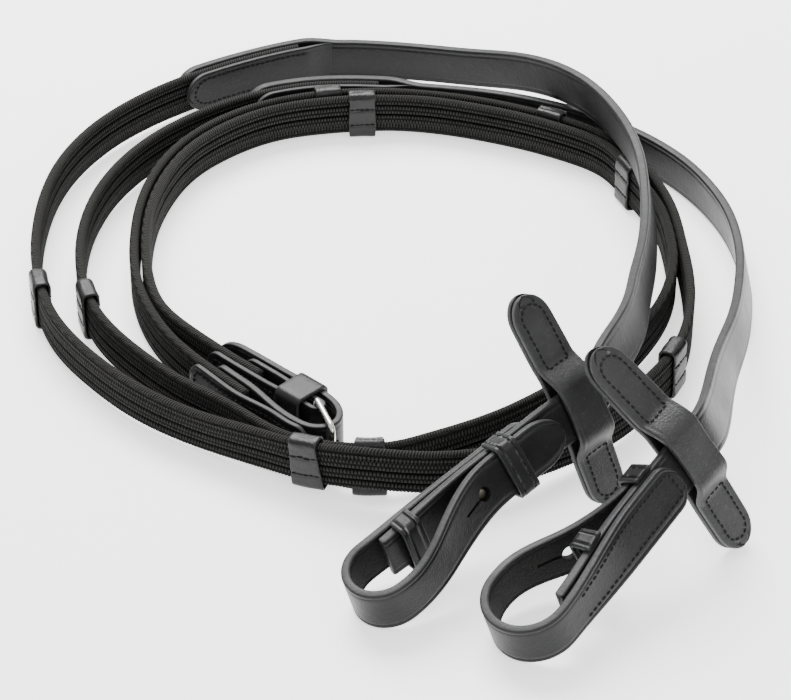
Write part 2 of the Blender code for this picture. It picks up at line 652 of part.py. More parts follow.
def build_point_strap(first, bar):
    """The first rein's end: a strap through the buckle, and its liner over the web's end."""
    lap = WEB_THICKNESS / 2 + GAP + TAIL_LEATHER / 2
    points = [[*first.place(first.length - back * MM, lap, 0.0), 0.0] for back in (POINT_ON_WEB / MM, 10, 0)]
    points += [[x * MM, y * MM, POINT_HEIGHT * MM, 0.0] for x, y in POINT_STRAP]
    route = Route(points)
    stations = strap_stations(0.0, route.length, 6 * MM, 5 * MM, 12 * MM)
    half = rounded_ends(0.0, route.length, 5 * MM, 12 * MM)
    strap = ribbon("point_strap", route.place_wide, stations, half, TAIL_LEATHER, leather_material("point_strap"),
                   rounding=0.5 * MM)
    cut_tongue_hole(strap, bar)

    under = WEB_THICKNESS / 2 + GAP + THIN_LEATHER / 2
    beside = TAIL_LEATHER / 2 + GAP + THIN_LEATHER / 2
    points = [[*first.place(first.length - back * MM, -under, 0.0), 0.0] for back in (LINER_ON_WEB / MM, 13, 0)]
    points += [[*route.place(route.nearest(x, y), -beside, 0.0), 0.0] for x, y in POINT_STRAP[:3]]
    route = Route(points)
    stations = strap_stations(0.0, route.length, 6 * MM, 5 * MM, 5 * MM)
    half = rounded_ends(0.0, route.length, 5 * MM, 5 * MM)
    ribbon("point_strap_liner", route.place_wide, stations, half, THIN_LEATHER, leather_material("point_strap"),
           rounding=0.4 * MM)


def build_chape(second):
    """Leather folded round the bar, its two halves sewn over the second web's end."""
    centre = second.length + BAR_PAST_WEB
    wide = WEB_THICKNESS / 2 + GAP + THIN_LEATHER / 2
    fold = BUCKLE_WIRE / 2 + GAP + THIN_LEATHER / 2

    def spread(back):
        return fold + (wide - fold) * ease((back - 4 * MM) / (BAR_PAST_WEB - 8 * MM))

    path = [(back, -spread(back)) for back in strap_stations(2 * MM, CHAPE_OUTER, 6.5 * MM, 0, 6 * MM)[::-1]]
    for step in range(9):
        turn = math.pi * step / 8
        path.append((-fold * math.sin(turn), -fold * math.cos(turn)))
    path += [(back, spread(back)) for back in strap_stations(2 * MM, CHAPE_INNER, 6.5 * MM, 0, 6 * MM)]
    steps = [math.dist(a, b) for a, b in zip(path, path[1:])]
    along = [sum(steps[:k]) for k in range(len(path))]
    where = dict(zip(along, path))

    def placer(station, side):
        back, out = where[station]
        return second.place(centre - back, out, side)

    half = rounded_ends(0.0, along[-1], 6 * MM, 6 * MM)
    chape = ribbon("chape", placer, along, half, THIN_LEATHER, leather_material("chape"), rounding=0.4 * MM)
    bpy.ops.mesh.primitive_cube_add(size=1.0)
    slot = bpy.context.object
    slot.scale = (10 * MM, 12 * MM, TONGUE_WIRE + 1.2 * MM)
    add_cut(chape, slot, "_slot_cutter", second.place(centre + 1.1 * MM, 0.0, 0.0),
            second.frame(second.length)[1].to_track_quat("X", "Z"))
    return chape


def build_centre_keeper(second):
    inner = WEB_THICKNESS / 2 + 2 * GAP + THIN_LEATHER + TAIL_LEATHER + 2.4 * KEEPER_CLEARANCE
    outer = WEB_THICKNESS / 2 + GAP + THIN_LEATHER + KEEPER_CLEARANCE
    start = second.length + BAR_PAST_WEB - CENTRE_KEEPER_AT - CENTRE_KEEPER_WIDTH / 2
    return sleeve("centre_keeper", second.place, start, CENTRE_KEEPER_WIDTH, (inner + outer) / 2,
                  STRAP_WIDTH / 2 + KEEPER_CLEARANCE, KEEPER_LEATHER, leather_material("keeper"),
                  out=(inner - outer) / 2)


def bar_frame(second):
    """Middle of the buckle's bar, and the frame's direction, side and height."""
    middle = second.place(second.length + BAR_PAST_WEB, 0.0, 0.0)
    point, tangent, normal, width = second.frame(second.length)
    turn = math.radians(-FRAME_TURN)
    reach = math.cos(turn) * tangent + math.sin(turn) * normal
    side = math.cos(turn) * normal - math.sin(turn) * tangent
    return middle, reach, side, width


def build_buckle_frame(bar):
    middle, reach, side, width = bar
    top = FRAME_INSIDE_HEIGHT / 2 + BUCKLE_WIRE / 2
    far = FRAME_LENGTH
    corner = 3.0 * MM
    near_corner = 0.8 * MM
    outline = [(near_corner, -top), (0.0, -top + near_corner), (0.0, top - near_corner), (near_corner, top)]
    for sign in (1, -1):
        arc = []
        for step in range(6):
            turn = math.radians(90 * step / 5)
            arc.append((far - corner + corner * math.sin(turn), sign * (top - corner + corner * math.cos(turn))))
        outline += arc if sign == 1 else arc[::-1]
    points = [middle + along * reach + level * width for along, level in outline]
    return wire_loop("buckle_frame", points, BUCKLE_WIRE, metal_material("buckle"), origin=middle)


def build_tongue(bar):
    """A wire curled round the bar; its straight part rests beside the far side."""
    middle, reach, side, width = bar
    radius = BUCKLE_WIRE / 2 + 0.25 * MM + TONGUE_WIRE / 2
    outline = []
    for step in range(11):
        turn = math.radians(-215 + 21.5 * step)
        outline.append((radius * math.sin(turn), radius * math.cos(turn)))
    for along in (4, 9, 14, FRAME_LENGTH / MM + 1.6):
        outline.append((along * MM, radius))
    points = [middle + along * reach + out * side for along, out in outline]
    return wire_loop("buckle_tongue", points, TONGUE_WIRE, metal_material("buckle"), closed=False, origin=middle)


def cut_tongue_hole(strap, bar):
    middle, reach, side, width = bar
    bpy.ops.mesh.primitive_cylinder_add(vertices=12, radius=TONGUE_WIRE / 2 + 0.6 * MM, depth=9 * MM)
    hole = bpy.context.object
    centre = middle + 11.5 * MM * reach + (BUCKLE_WIRE / 2 + 0.25 * MM + TONGUE_WIRE / 2) * side
    add_cut(strap, hole, "_hole_cutter", centre, reach.to_track_quat("Z", "Y"))


def add_cut(obj, cutter, suffix, location, turn):
    cutter.name = obj.name + suffix
    cutter.location = location
    cutter.rotation_euler = turn.to_euler()
    cutter.hide_render = True
    cutter.display_type = "WIRE"
    for collection in list(cutter.users_collection):
        collection.objects.unlink(cutter)
    bpy.data.collections[CUTTERS].objects.link(cutter)
    cut = obj.modifiers.new("cut", "BOOLEAN")
    cut.operation = "DIFFERENCE"
    cut.object = cutter


def clear_scene():
    for obj in list(bpy.data.objects):
        bpy.data.objects.remove(obj, do_unlink=True)
    for name in (COLLECTION, CUTTERS):
        collection = bpy.data.collections.new(name)
        bpy.context.scene.collection.children.link(collection)


def main():
    clear_scene()
    routes = []
    for number, (bit_end, coil) in enumerate(zip(BIT_ENDS, COILS), start=1):
        route = rein_route(bit_end, coil)
        join = route.nearest(*WEB_STARTS[number - 1], after=0.2)
        places = [route.nearest(x, y, after=after) for x, y, after in HAND_STOPS[number - 1]]
        build_bit_end(number, route, bit_end)
        build_rein_stop(number, route, bit_end)
        build_front_strap(number, route, join)
        build_splice_tab(number, route, join)
        build_web(number, route, join, route.length)
        build_hand_stops(number, route, places)
        routes.append(route)
    first, second = routes
    bar = bar_frame(second)
    build_point_strap(first, bar)
    build_chape(second)
    build_centre_keeper(second)
    build_buckle_frame(bar)
    build_tongue(bar)
    for obj in bpy.data.objects:
        obj.location -= ROUTE_ORIGIN


main()
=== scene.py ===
"""Looks of a pair of web-grip bridle reins, coiled together and standing on their edges.

Every piece is drawn flat, as a section swept along its own strap, and laid along the
rein's route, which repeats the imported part's.  Lengths are in millimetres; add_mesh, the
cutters and the cords turn them into metres.  +Z is up.
"""
import math

import bpy
import numpy as np
from mathutils import Matrix, Vector
from mathutils.kdtree import KDTree


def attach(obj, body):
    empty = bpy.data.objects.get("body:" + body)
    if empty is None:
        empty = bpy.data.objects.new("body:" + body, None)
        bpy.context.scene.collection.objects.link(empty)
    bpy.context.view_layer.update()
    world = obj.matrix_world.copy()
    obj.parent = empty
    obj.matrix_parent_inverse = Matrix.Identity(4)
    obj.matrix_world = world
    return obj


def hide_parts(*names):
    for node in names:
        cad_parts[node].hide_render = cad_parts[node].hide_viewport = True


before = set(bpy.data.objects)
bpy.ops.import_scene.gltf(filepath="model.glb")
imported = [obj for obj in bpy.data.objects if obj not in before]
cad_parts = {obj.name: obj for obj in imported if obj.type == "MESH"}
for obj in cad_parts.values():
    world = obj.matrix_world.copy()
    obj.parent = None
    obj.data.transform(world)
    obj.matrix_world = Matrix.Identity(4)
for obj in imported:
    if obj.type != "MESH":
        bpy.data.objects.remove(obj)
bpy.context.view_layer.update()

MM = 0.001

STRAP_WIDTH = 16
LEATHER = 3.4
BILLET_LEATHER = 2.9
WEB_THICKNESS = 3.4
WEB_GROOVE = 1.0
THIN_LEATHER = 1.9
GAP = 0.3
SEAM = 0.7
REIN_START = 17
STUD_AT = 52
STUD_HEIGHT = 4.5
BILLET_SLACK = 1.2
UPPER_KEEPER_AT = 66.5
TWIST_FROM = 13.5
TWIST_TO = 56
KEEPER_WIDTH = 7.5
KEEPER_LEATHER = 1.4
KEEPER_CLEARANCE = 0.4
HOLE_RADIUS = 2.4
SLIT_LENGTH = 9
SLIT_WIDTH = 0.9
STOP_CLEARANCE = 0.6
STOP_BEND_ROOM = 1.9
STOP_WIDTH = 14.5
STOP_LEATHER = 2.2
STOP_ROUND = 8.5
STOP_BRIDGE_HALF = 9.9
STOP_WING_STARTS = 14.2
STOP_ARCH = (8.4, 17.2)
HAND_STOP_WIDTH = 10.5
HAND_STOP_LEATHER = 1.1
HAND_STOP_CLEARANCE = 0.55
HAND_STOP_GROOVES = (3.1, -3.7)
SPLICE_OVERLAP = 52
SPLICE_LEAD = 18
BUCKLE_WIRE = 2.0
FRAME_INSIDE_HEIGHT = 17.2
FRAME_LENGTH = 17
FRAME_TURN = 27
TONGUE_WIRE = 1.8
TONGUE_OUT = BUCKLE_WIRE / 2 + 0.25 + TONGUE_WIRE / 2
TAIL_LEATHER = 2.4
BAR_PAST_WEB = 27
CHAPE_OUTER = 50
CHAPE_INNER = 38
CENTRE_KEEPER_AT = 9
CENTRE_KEEPER_WIDTH = 11

THREAD_PITCH = 1.2
ROW_PITCH = 2.0
STITCH_PITCH = 2.2
SHARP_CUT = 40
SHARP_METAL = 50

# Where the route's own zero lies in the row frame.
ROUTE_ORIGIN = np.array((2.0, -15.0, 0.2))
CAMERA_DISTANCE = 0.9768
CAMERA_ELEVATION = 35.0
FOCAL_PIXELS = 2786.0
PICTURE_WIDTH = 791.0
SENSOR_WIDTH = 36.0

# Bit ends: where the loop's tip is, its directions in degrees, the side that the loop
# opens to (+1 is left of the rein's direction), and places measured from the tip.
BIT_ENDS = (
    {"tip": (-15.7, -140.3, 7.9), "azimuth": 37.0, "pitch": 17.5, "lean": (-1, 25), "side": -1,
     "straight": 84.0, "bulge": 21.9, "closing": (11, 63), "seam_end": 81.0, "point_at": 87.0, "hole_at": 52.0,
     "keeper_at": 26.5, "keeper_room": 2.6, "stop_at": 97.7, "stop_half": 38.5, "stop_rise": 1.6,
     "wing_bend": (9, 6), "skew": 6},
    {"tip": (40.6, -169.6, 8.5), "azimuth": 50.6, "pitch": 19.0, "lean": (4, 31), "side": 1,
     "straight": 90.0, "bulge": 26.5, "closing": (16, 66), "seam_end": 74.5, "point_at": 73.5, "hole_at": 38.5,
     "keeper_at": 38.0, "keeper_room": 4.4, "stop_at": 85.0, "stop_half": 40.7, "stop_rise": 1.6,
     "wing_bend": (17, 4), "skew": 2},
)

# Coils, from the end of the straight: x, y, lift of the lower edge and lean (degrees).
# A point that gives no lean, or no lift either, has the usual ones.
USUAL_LIE = (1.6, 0)
COILS = (
    ((60.2, -82.8, 29.6, 25), (68.2, -66.6, 32.7, 25), (74.4, -51, 31.8, 24), (79.5, -34, 29.5, 22),
     (82.9, -13.9, 26.1, 19), (86.7, 8, 22.7, 16), (89.7, 32, 20.2, 14), (90.9, 55.6, 19.5, 12),
     (90.4, 74.9, 19.7, 10), (87.8, 92.6, 19.9, 9), (83.1, 110.3, 19.4, 8), (75.3, 127.8, 19.2, 7), (64, 145, 17.3, 6),
     (48.9, 162.2, 12.3, 5), (32, 176.3, 6.2, 4), (13.5, 187.2, 2.2, 2), (-6.7, 193.5, 0.5), (-29.5, 192.8, 1),
     (-47.2, 185.7), (-67.4, 174.7), (-90.9, 157.1), (-112, 132.6), (-125.9, 101.1), (-130.5, 64), (-127.6, 27.8),
     (-117.9, -3.4), (-102.7, -26.5, 1.6, -2), (-83.4, -46.7, 1.6, -4), (-63.2, -60.6, 1.6, -7),
     (-44.3, -72.3, 3.5, -4), (-28.9, -80.8, 4.7, -1), (-11, -87.6, 7.1), (10.1, -88.5, 6), (32, -83.8, 4.5, 3),
     (52.2, -72.3, 3, 4), (70.7, -57.3, 1.7, 4), (85.9, -38.7, 1.6, 3), (96.8, -19.4, 1.6, 2), (102.3, 1.7),
     (104, 23.6), (103.4, 45.5), (101.7, 67.4), (97.5, 86.3), (91.8, 102.3), (82.8, 116.6), (67.7, 129.9),
     (50.7, 139.3), (32.1, 146.8), (12.6, 151.7), (-8.4, 153.7), (-30.3, 151.2), (-50.5, 144), (-67.4, 131.8),
     (-80.4, 115.8), (-89.3, 95.2), (-93.9, 70.7), (-94.3, 45.5), (-91.4, 21.1), (-85.1, 0.8), (-76.4, -16.6, 2.2),
     (-67.6, -29.4, 2.7), (-58.6, -40.2, 2.9), (-49.9, -50, 2.9)),
    ((100.4, -90, 28.5, 31), (104.9, -68, 23, 28), (111.3, -37.1, 14.3, 22), (117.8, -11.8, 8.8, 18),
     (122.3, 12.6, 4.2, 16), (124.6, 32, 1.7, 14), (124.8, 50.5, 0.5, 10), (122.5, 69.1, 0.3, 7),
     (117.5, 85.9, 0.3, 5), (110.7, 100.6, 0.3, 3), (101.9, 113.7, 0.3, 2), (90.5, 125.9, 0.3), (76.6, 136.8, 0.3),
     (58.9, 146.5, 0.3), (38.7, 153.9, 0.3), (16.8, 158.3, 0.3), (-6.7, 160.9, 0.5), (-30.3, 159.5, 1.2),
     (-48.8, 153.7), (-67.4, 143.2), (-85.9, 126.7), (-101.1, 104.4), (-110.7, 77.5), (-113.7, 49.7), (-110.7, 21.1),
     (-102.3, -2.5), (-88.4, -22.7), (-71.2, -41.3), (-53.9, -56, 1.6, 2), (-39.2, -69.3), (-27, -75.8, 1.8),
     (-13.5, -80, 1.9, 16), (0, -79.3, 1.9, 23), (10.5, -75.2, 1.9, 23), (20.6, -69.8, 1.7, 20),
     (33.7, -61.5, 1.6, 12), (47.2, -50.5, 1.6, 6), (62.3, -36.6, 1.6, 3), (75.3, -23.2), (85, -8.6), (92.8, 7.2),
     (97.4, 22.2), (99.4, 36.2), (99.3, 50.5), (97.5, 67.4), (92.6, 83.9), (86.7, 99.2), (79.6, 113.3), (64.8, 125.5),
     (48.4, 134.6), (30.7, 141.8), (12.2, 147), (-8.4, 148.4), (-29.1, 145.9), (-48, 139.8), (-64, 128.3),
     (-76.5, 113.3), (-85.1, 93.5), (-89.7, 70.3), (-90.1, 45.9), (-87.2, 22.3), (-81.7, 4.6), (-73.4, -8.4, 2.2),
     (-63.6, -20.2, 2.7), (-54.8, -29.6, 2.9), (-45.5, -38.7, 2.9)),
)

# The point strap from the end of the first web through the buckle: x, y.
POINT_STRAP = ((-38.4, -60.4), (-32.2, -66.7), (-27.4, -69.6), (-22.6, -69.4), (-19.2, -66.4), (-18.4, -61.5),
               (-20.0, -56.5), (-23.6, -51.5), (-28.7, -46.3), (-36.5, -39.1), (-45.1, -30.9), (-53.0, -23.6),
               (-60.3, -17.0))
POINT_HEIGHT = 10.9
POINT_ON_WEB = 20
LINER_ON_WEB = 26

# Where each web starts: x, y.
WEB_STARTS = ((-39.5, 189.2), (-7.0, 160.0))

# Hand stops: the place on each web (x, y) and how far along to start looking.
HAND_STOPS = (
    ((-125.4, 18.0, 500), (-27.6, -79.6, 700), (94.3, -24.0, 800), (60.0, 134.5, 1000), (-26.5, 152.0, 1100)),
    ((-106.5, 12.0, 500), (-8.5, -80.4, 700), (75.5, -23.0, 800), (88.6, 97.0, 900), (-13.2, 148.8, 1100)),
)


# Routes

def smooth_curve(knots, values, fine, start_slope=None):
    """Cubic spline through the values, with a free or a given slope at its start."""
    count = len(knots)
    spans = np.diff(knots)
    rises = np.diff(values) / spans
    system = np.zeros((count, count))
    right = np.zeros(count)
    for k in range(1, count - 1):
        system[k, k - 1:k + 2] = spans[k], 2 * (spans[k - 1] + spans[k]), spans[k - 1]
        right[k] = 3 * (spans[k] * rises[k - 1] + spans[k - 1] * rises[k])
    if start_slope is None:
        system[0, :2] = (2, 1)
        right[0] = 3 * rises[0]
    else:
        system[0, 0] = 1
        right[0] = start_slope
    system[-1, -2:] = (1, 2)
    right[-1] = 3 * rises[-1]
    slopes = np.linalg.solve(system, right)
    span = np.clip(np.searchsorted(knots, fine, side="right") - 1, 0, count - 2)
    width = spans[span]
    part = (fine - knots[span]) / width
    first, last = values[span], values[span + 1]
    steep, level = slopes[span] * width, slopes[span + 1] * width
    return (first * (2 * part**3 - 3 * part**2 + 1) + steep * (part**3 - 2 * part**2 + part)
            + last * (3 * part**2 - 2 * part**3) + level * (part**3 - part**2))


def distances(line):
    """The distance along a line of points, at each of them."""
    return np.concatenate(([0.0], np.cumsum(np.linalg.norm(np.diff(line, axis=0), axis=1))))


def ease(part):
    part = np.clip(part, 0.0, 1.0)
    return part * part * (3 - 2 * part)


def unit(vectors):
    return vectors / np.linalg.norm(vectors, axis=-1, keepdims=True)


class Route:
    """The middle line of a flat strap, with its lean, by distance along it."""

    def __init__(self, points, start_tangent=(None,) * 4, samples=6000):
        points = np.array(points, dtype=float)
        knots = distances(points[:, :3])
        fine = np.linspace(0.0, knots[-1], samples)
        self.finish(np.column_stack([smooth_curve(knots, column, fine, slope)
                                     for column, slope in zip(points.T, start_tangent)]))

    def finish(self, table):
        self.table = table
        self.at = distances(table[:, :3])
        self.length = float(self.at[-1])

    def rows(self, distance):
        return np.stack([np.interp(distance, self.at, column) for column in self.table.T], axis=-1)

    def frames(self, distance):
        """Points, directions, left face normals and width directions at some distances."""
        near = 0.5
        here = self.rows(distance)
        ahead = self.rows(np.minimum(distance + near, self.length))
        behind = self.rows(np.maximum(distance - near, 0.0))
        tangent = unit(ahead[..., :3] - behind[..., :3])
        left = unit(np.cross((0.0, 0.0, 1.0), tangent))
        upward = np.cross(tangent, left)
        lean = np.radians(here[..., 3])[..., None]
        width = np.cos(lean) * upward + np.sin(lean) * left
        normal = np.cos(lean) * left - np.sin(lean) * upward
        return here[..., :3], tangent, normal, width

    def place(self, along, out=0.0, across=0.0):
        """Points for places on the strap: along it, out from its left face and across it."""
        along, out, across = np.broadcast_arrays(along, out, across)
        inside = np.clip(along, 0.0, self.length)
        point, tangent, normal, width = self.frames(inside)
        overrun = (along - inside)[..., None]
        return point + overrun * tangent + out[..., None] * normal + across[..., None] * width

    def place_wide(self, along, across):
        return self.place(along, 0.0, across)

    def nearest(self, x, y, after=0.0):
        reach = np.hypot(self.table[:, 0] - x, self.table[:, 1] - y)
        return float(self.at[np.argmin(np.where(self.at < after, np.inf, reach))])


def rein_route(bit_end, coil):
    """The straight bit end, then the coil, as one route from the loop's tip."""
    azimuth, pitch = math.radians(bit_end["azimuth"]), math.radians(bit_end["pitch"])
    heading = np.array((math.cos(azimuth) * math.cos(pitch), math.sin(azimuth) * math.cos(pitch), math.sin(pitch)))
    distance = np.linspace(0.0, bit_end["straight"], 400)
    first_lean, last_lean = bit_end["lean"]
    lean = first_lean + (last_lean - first_lean) * ease((distance - TWIST_FROM) / (TWIST_TO - TWIST_FROM))
    line = np.column_stack((np.array(bit_end["tip"]) + distance[:, None] * heading, lean))
    points = [line[-1]]
    for x, y, *given in coil:
        lift, angle = (*given, *USUAL_LIE[len(given):])
        turn = math.radians(angle)
        raised = lift + STRAP_WIDTH / 2 * math.cos(turn) + WEB_THICKNESS / 2 * abs(math.sin(turn))
        points.append((x, y, raised, angle))
    route = Route(points, start_tangent=(*heading, 0.0))
    route.finish(np.vstack((line, route.table[1:])))
    return route


# Materials

def shade(colour, share):
    return tuple(part * share for part in colour)


class Nodes:
    """Short names for building the node tree of a material or a world."""

    def __init__(self, name, holders=bpy.data.materials, shader="Principled BSDF"):
        holder = holders.new(name)
        holder.use_nodes = True
        self.holder = holder
        self.tree = holder.node_tree
        self.shader = self.tree.nodes[shader]

    def add(self, kind, inputs=None, **settings):
        node = self.tree.nodes.new("ShaderNode" + kind)
        for key, value in settings.items():
            setattr(node, key, value)
        for key, value in (inputs or {}).items():
            self.put(node.inputs[key], value)
        return node

    def put(self, socket, value):
        if isinstance(value, bpy.types.NodeSocket):
            self.tree.links.new(value, socket)
        else:
            socket.default_value = value

    def attribute(self, name):
        return self.add("Attribute", attribute_name=name).outputs["Fac"]

    def place(self, kind="Object"):
        return self.add("TexCoord").outputs[kind]

    def math(self, operation, *values):
        node = self.add("Math", operation=operation)
        for socket, value in zip(node.inputs, values):
            self.put(socket, value)
        return node.outputs[0]

    def plus(self, a, b):
        return self.math("ADD", a, b)

    def times(self, a, b):
        return self.math("MULTIPLY", a, b)

    def folded(self, value):
        """How far the value's fraction is from a half: a row of triangles."""
        return self.math("ABSOLUTE", self.plus(self.math("FRACT", value), -0.5))

    def noise(self, scale, detail=3.0, roughness=0.55):
        return self.add("TexNoise", {"Vector": self.place(), "Scale": scale, "Detail": detail,
                                     "Roughness": roughness}).outputs["Fac"]

    def span(self, value, low, high, to_low=0.0, to_high=1.0):
        return self.add("MapRange", {"Value": value, "From Min": low, "From Max": high, "To Min": to_low,
                                     "To Max": to_high}).outputs["Result"]

    def mix(self, factor, a, b):
        node = self.add("Mix", data_type="RGBA")
        self.put(node.inputs["Factor"], factor)
        for key, value in (("A", a), ("B", b)):
            socket = [s for s in node.inputs if s.name == key and s.type == "RGBA"][0]
            self.put(socket, value if isinstance(value, bpy.types.NodeSocket) else (*value, 1.0))
        return [s for s in node.outputs if s.type == "RGBA"][0]

    def mottle(self, factor, colour, dark, light):
        return self.mix(factor, shade(colour, dark), shade(colour, light))

    def blend(self, factor, a, b):
        return self.plus(a, self.times(factor, self.math("SUBTRACT", b, a)))

    def bump(self, height, distance, strength, under=None):
        """A bump of a real height in metres, over the bump under it."""
        inputs = {"Height": height, "Distance": distance, "Strength": strength}
        if under is not None:
            inputs["Normal"] = under
        return self.add("Bump", inputs).outputs["Normal"]

    def finish(self, **inputs):
        for key, value in inputs.items():
            self.put(self.shader.inputs[key.replace("_", " ")], value)
        return self.holder


def leather_look(name, face, edge, flesh, roughness, grain, gloss):
    """Black bridle leather: a satin grain face, paler cut edges and a dull flesh side. The edges' paler colour is
    partly their own and partly painted highlight for the light on the upturned edges.
    """
    n = Nodes(name)
    cloud = n.noise(55.0, 4.0)
    pores = n.add("TexVoronoi", {"Vector": n.place(), "Scale": 1500.0}, feature="F1").outputs["Distance"]
    fibre = n.noise(1400.0, 2.0)
    flesh_share = n.attribute("flesh")
    edge_share = n.span(n.attribute("edge"), 0.35, 0.85)
    skin = n.mottle(n.span(cloud, 0.3, 0.7), face, 0.72, 1.45)
    skin = n.mix(n.span(n.noise(900.0), 0.55, 0.75, 0.0, 0.5), skin, shade(face, 2.4))
    colour = n.mix(flesh_share, skin, n.mottle(n.span(fibre, 0.35, 0.7), flesh, 0.6, 1.4))
    # Cut edges: a paler colour, partly the leather's own and partly painted highlight.
    colour = n.mix(edge_share, colour, n.mottle(n.span(n.noise(420.0), 0.35, 0.65), edge, 0.8, 1.15))
    shine = n.plus(n.span(cloud, 0.25, 0.75, roughness - 0.05, roughness + 0.09), n.times(flesh_share, 0.4))
    shine = n.plus(shine, n.times(edge_share, 0.10))
    normal = n.bump(pores, 0.00005 * grain, 0.5)
    normal = n.bump(n.noise(240.0, 5.0, 0.65), 0.00022 * grain, 0.35, normal)
    normal = n.bump(n.times(fibre, flesh_share), 0.0005, 0.9, normal)
    return n.finish(Base_Color=colour, Roughness=shine, Normal=normal, Specular_IOR_Level=gloss)


def web_look(name):
    """Black cotton web: ribs of upright threads with painted shade in the gaps between them and in the grooves between
    the ribs, and braided edges.
    """
    n = Nodes(name)
    along, across = n.attribute("along"), n.attribute("across")
    rows = n.times(across, 1.0 / ROW_PITCH)
    wander = n.times(n.plus(n.noise(330.0, 2.0), -0.5), 0.55)
    turns = n.plus(n.times(along, 1.0 / THREAD_PITCH), n.times(n.math("FLOOR", rows), 0.5))
    turns = n.plus(turns, wander)
    crown = n.times(n.span(n.folded(turns), 0.40, 0.20), n.span(n.folded(rows), 0.5, 0.22))
    strand = n.folded(n.plus(n.times(turns, 3.0), n.times(rows, 1.5)))
    fuzz = n.noise(2600.0, 3.0, 0.7)
    height = n.plus(n.times(crown, 0.75), n.times(strand, 0.35))
    # Painted shade: the colour falls off each thread's crest to near black in the gaps.
    tone = n.times(n.math("POWER", crown, 1.3), n.span(fuzz, 0.3, 0.72, 0.35, 1.25))
    tone = n.times(tone, n.span(n.noise(45.0), 0.3, 0.7, 0.8, 1.2))
    # Painted shade: darker in the grooves between the ribs.
    tone = n.times(tone, n.span(n.attribute("rib"), 0.15, 0.85, 0.04, 1.1))
    out = n.math("ABSOLUTE", across)
    selvedge = n.span(out, 6.6, 7.2)
    slant = n.plus(n.plus(along, n.times(out, 1.0 / 1.4)), wander)
    # The braided edges' strands, with painted shade between them.
    braid = n.span(n.folded(slant), 0.44, 0.14, 0.12, 1.1)
    tone = n.blend(selvedge, tone, n.times(braid, n.span(fuzz, 0.3, 0.72, 0.6, 1.25)))
    height = n.blend(selvedge, height, braid)
    # The near black colour where the tone is low is painted shade; the lighter colour is the threads' own.
    colour = n.mix(tone, (0.0005, 0.0005, 0.00048), (0.034, 0.0335, 0.032))
    normal = n.bump(height, 0.00042, 0.9, n.bump(fuzz, 0.00012, 0.4))
    return n.finish(Base_Color=colour, Roughness=0.88, Normal=normal, Specular_IOR_Level=0.1, Sheen_Weight=0.05,
                    Sheen_Roughness=0.5, Sheen_Tint=(0.5, 0.5, 0.48, 1.0))


def thread_look(name, colour):
    n = Nodes(name)
    twist = n.add("TexWave", {"Vector": n.place(), "Scale": 900.0, "Distortion": 1.5},
                  bands_direction="DIAGONAL").outputs["Fac"]
    return n.finish(Base_Color=n.mottle(twist, colour, 0.5, 1.6), Roughness=0.66,
                    Normal=n.bump(twist, 0.00006, 0.7), Specular_IOR_Level=0.3)


def metal_look(name, colour, roughness, tarnish):
    n = Nodes(name)
    cloud = n.noise(170.0, 4.0)
    tone = n.mix(n.span(cloud, 0.35, 0.75), colour, tarnish)
    shine = n.span(cloud, 0.3, 0.8, roughness * 0.75, roughness * 1.6)
    scratches = n.bump(n.noise(1200.0, 2.0, 0.6), 0.00002, 0.35)
    return n.finish(Base_Color=tone, Metallic=1.0, Roughness=shine, Normal=scratches)


def floor_look(name):
    n = Nodes(name)
    tone = n.mix(n.span(n.noise(3.0, 2.0), 0.3, 0.7), (0.90, 0.90, 0.90), (0.93, 0.93, 0.93))
    return n.finish(Base_Color=tone, Roughness=0.75, Specular_IOR_Level=0.2, Emission_Color=(1.0, 1.0, 1.0, 1.0),
                    Emission_Strength=1.3)


# Leathers: colours of the face, the cut edges (partly painted highlight) and the flesh side, roughness, grain, gloss.
bridle = leather_look("bridle_leather", (0.0075, 0.0075, 0.0079), (0.036, 0.036, 0.037),
                      (0.0055, 0.0054, 0.0052), 0.36, 1.9, 0.22)
supple = leather_look("keeper_leather", (0.011, 0.011, 0.0115), (0.030, 0.030, 0.031),
                      (0.0045, 0.0045, 0.0043), 0.38, 1.4, 0.22)
stop_leather = leather_look("rein_stop_leather", (0.023, 0.023, 0.0237), (0.038, 0.038, 0.039),
                            (0.007, 0.007, 0.0067), 0.40, 2.6, 0.28)
grip_leather = leather_look("hand_stop_leather", (0.0065, 0.0065, 0.0067), (0.022, 0.022, 0.0225),
                            (0.005, 0.005, 0.005), 0.36, 3.0, 0.28)
cotton = web_look("ribbed_cotton")
thread = thread_look("black_thread", (0.0013, 0.0013, 0.0013))
nickel = metal_look("polished_nickel", (0.74, 0.73, 0.71), 0.16, (0.60, 0.58, 0.54))
brass = metal_look("dull_stud_metal", (0.20, 0.18, 0.15), 0.30, (0.10, 0.09, 0.07))


# Mesh tools

def add_mesh(name, points, faces, material, body, values=None, sharp=None, replaces=None):
    """A piece from points and faces, its faces turned outwards, riding on its body."""
    points = (np.asarray(points, dtype=float) + ROUTE_ORIGIN) * MM
    fans = np.array([(face[0], face[k], face[k + 1]) for face in faces for k in range(1, len(face) - 1)])
    a, b, c = np.moveaxis(points[fans] - points.mean(axis=0), 1, 0)
    if np.einsum("ij,ij->", a, np.cross(b, c)) < 0:
        faces = [face[::-1] for face in faces]
    mesh = bpy.data.meshes.new(name)
    mesh.from_pydata(points.tolist(), [], faces)
    for key, data in (values or {}).items():
        put_values(mesh, key, data)
    mesh.materials.append(material)
    mesh.shade_smooth()
    if sharp:
        mesh.set_sharp_from_angle(angle=math.radians(sharp))
    obj = bpy.data.objects.new(name, mesh)
    bpy.context.scene.collection.objects.link(obj)
    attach(obj, body)
    if replaces:
        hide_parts(replaces)
    return obj


def put_values(mesh, key, data):
    layer = mesh.attributes.get(key) or mesh.attributes.new(key, "FLOAT", "POINT")
    layer.data.foreach_set("value", np.asarray(data, dtype=np.float32).ravel())


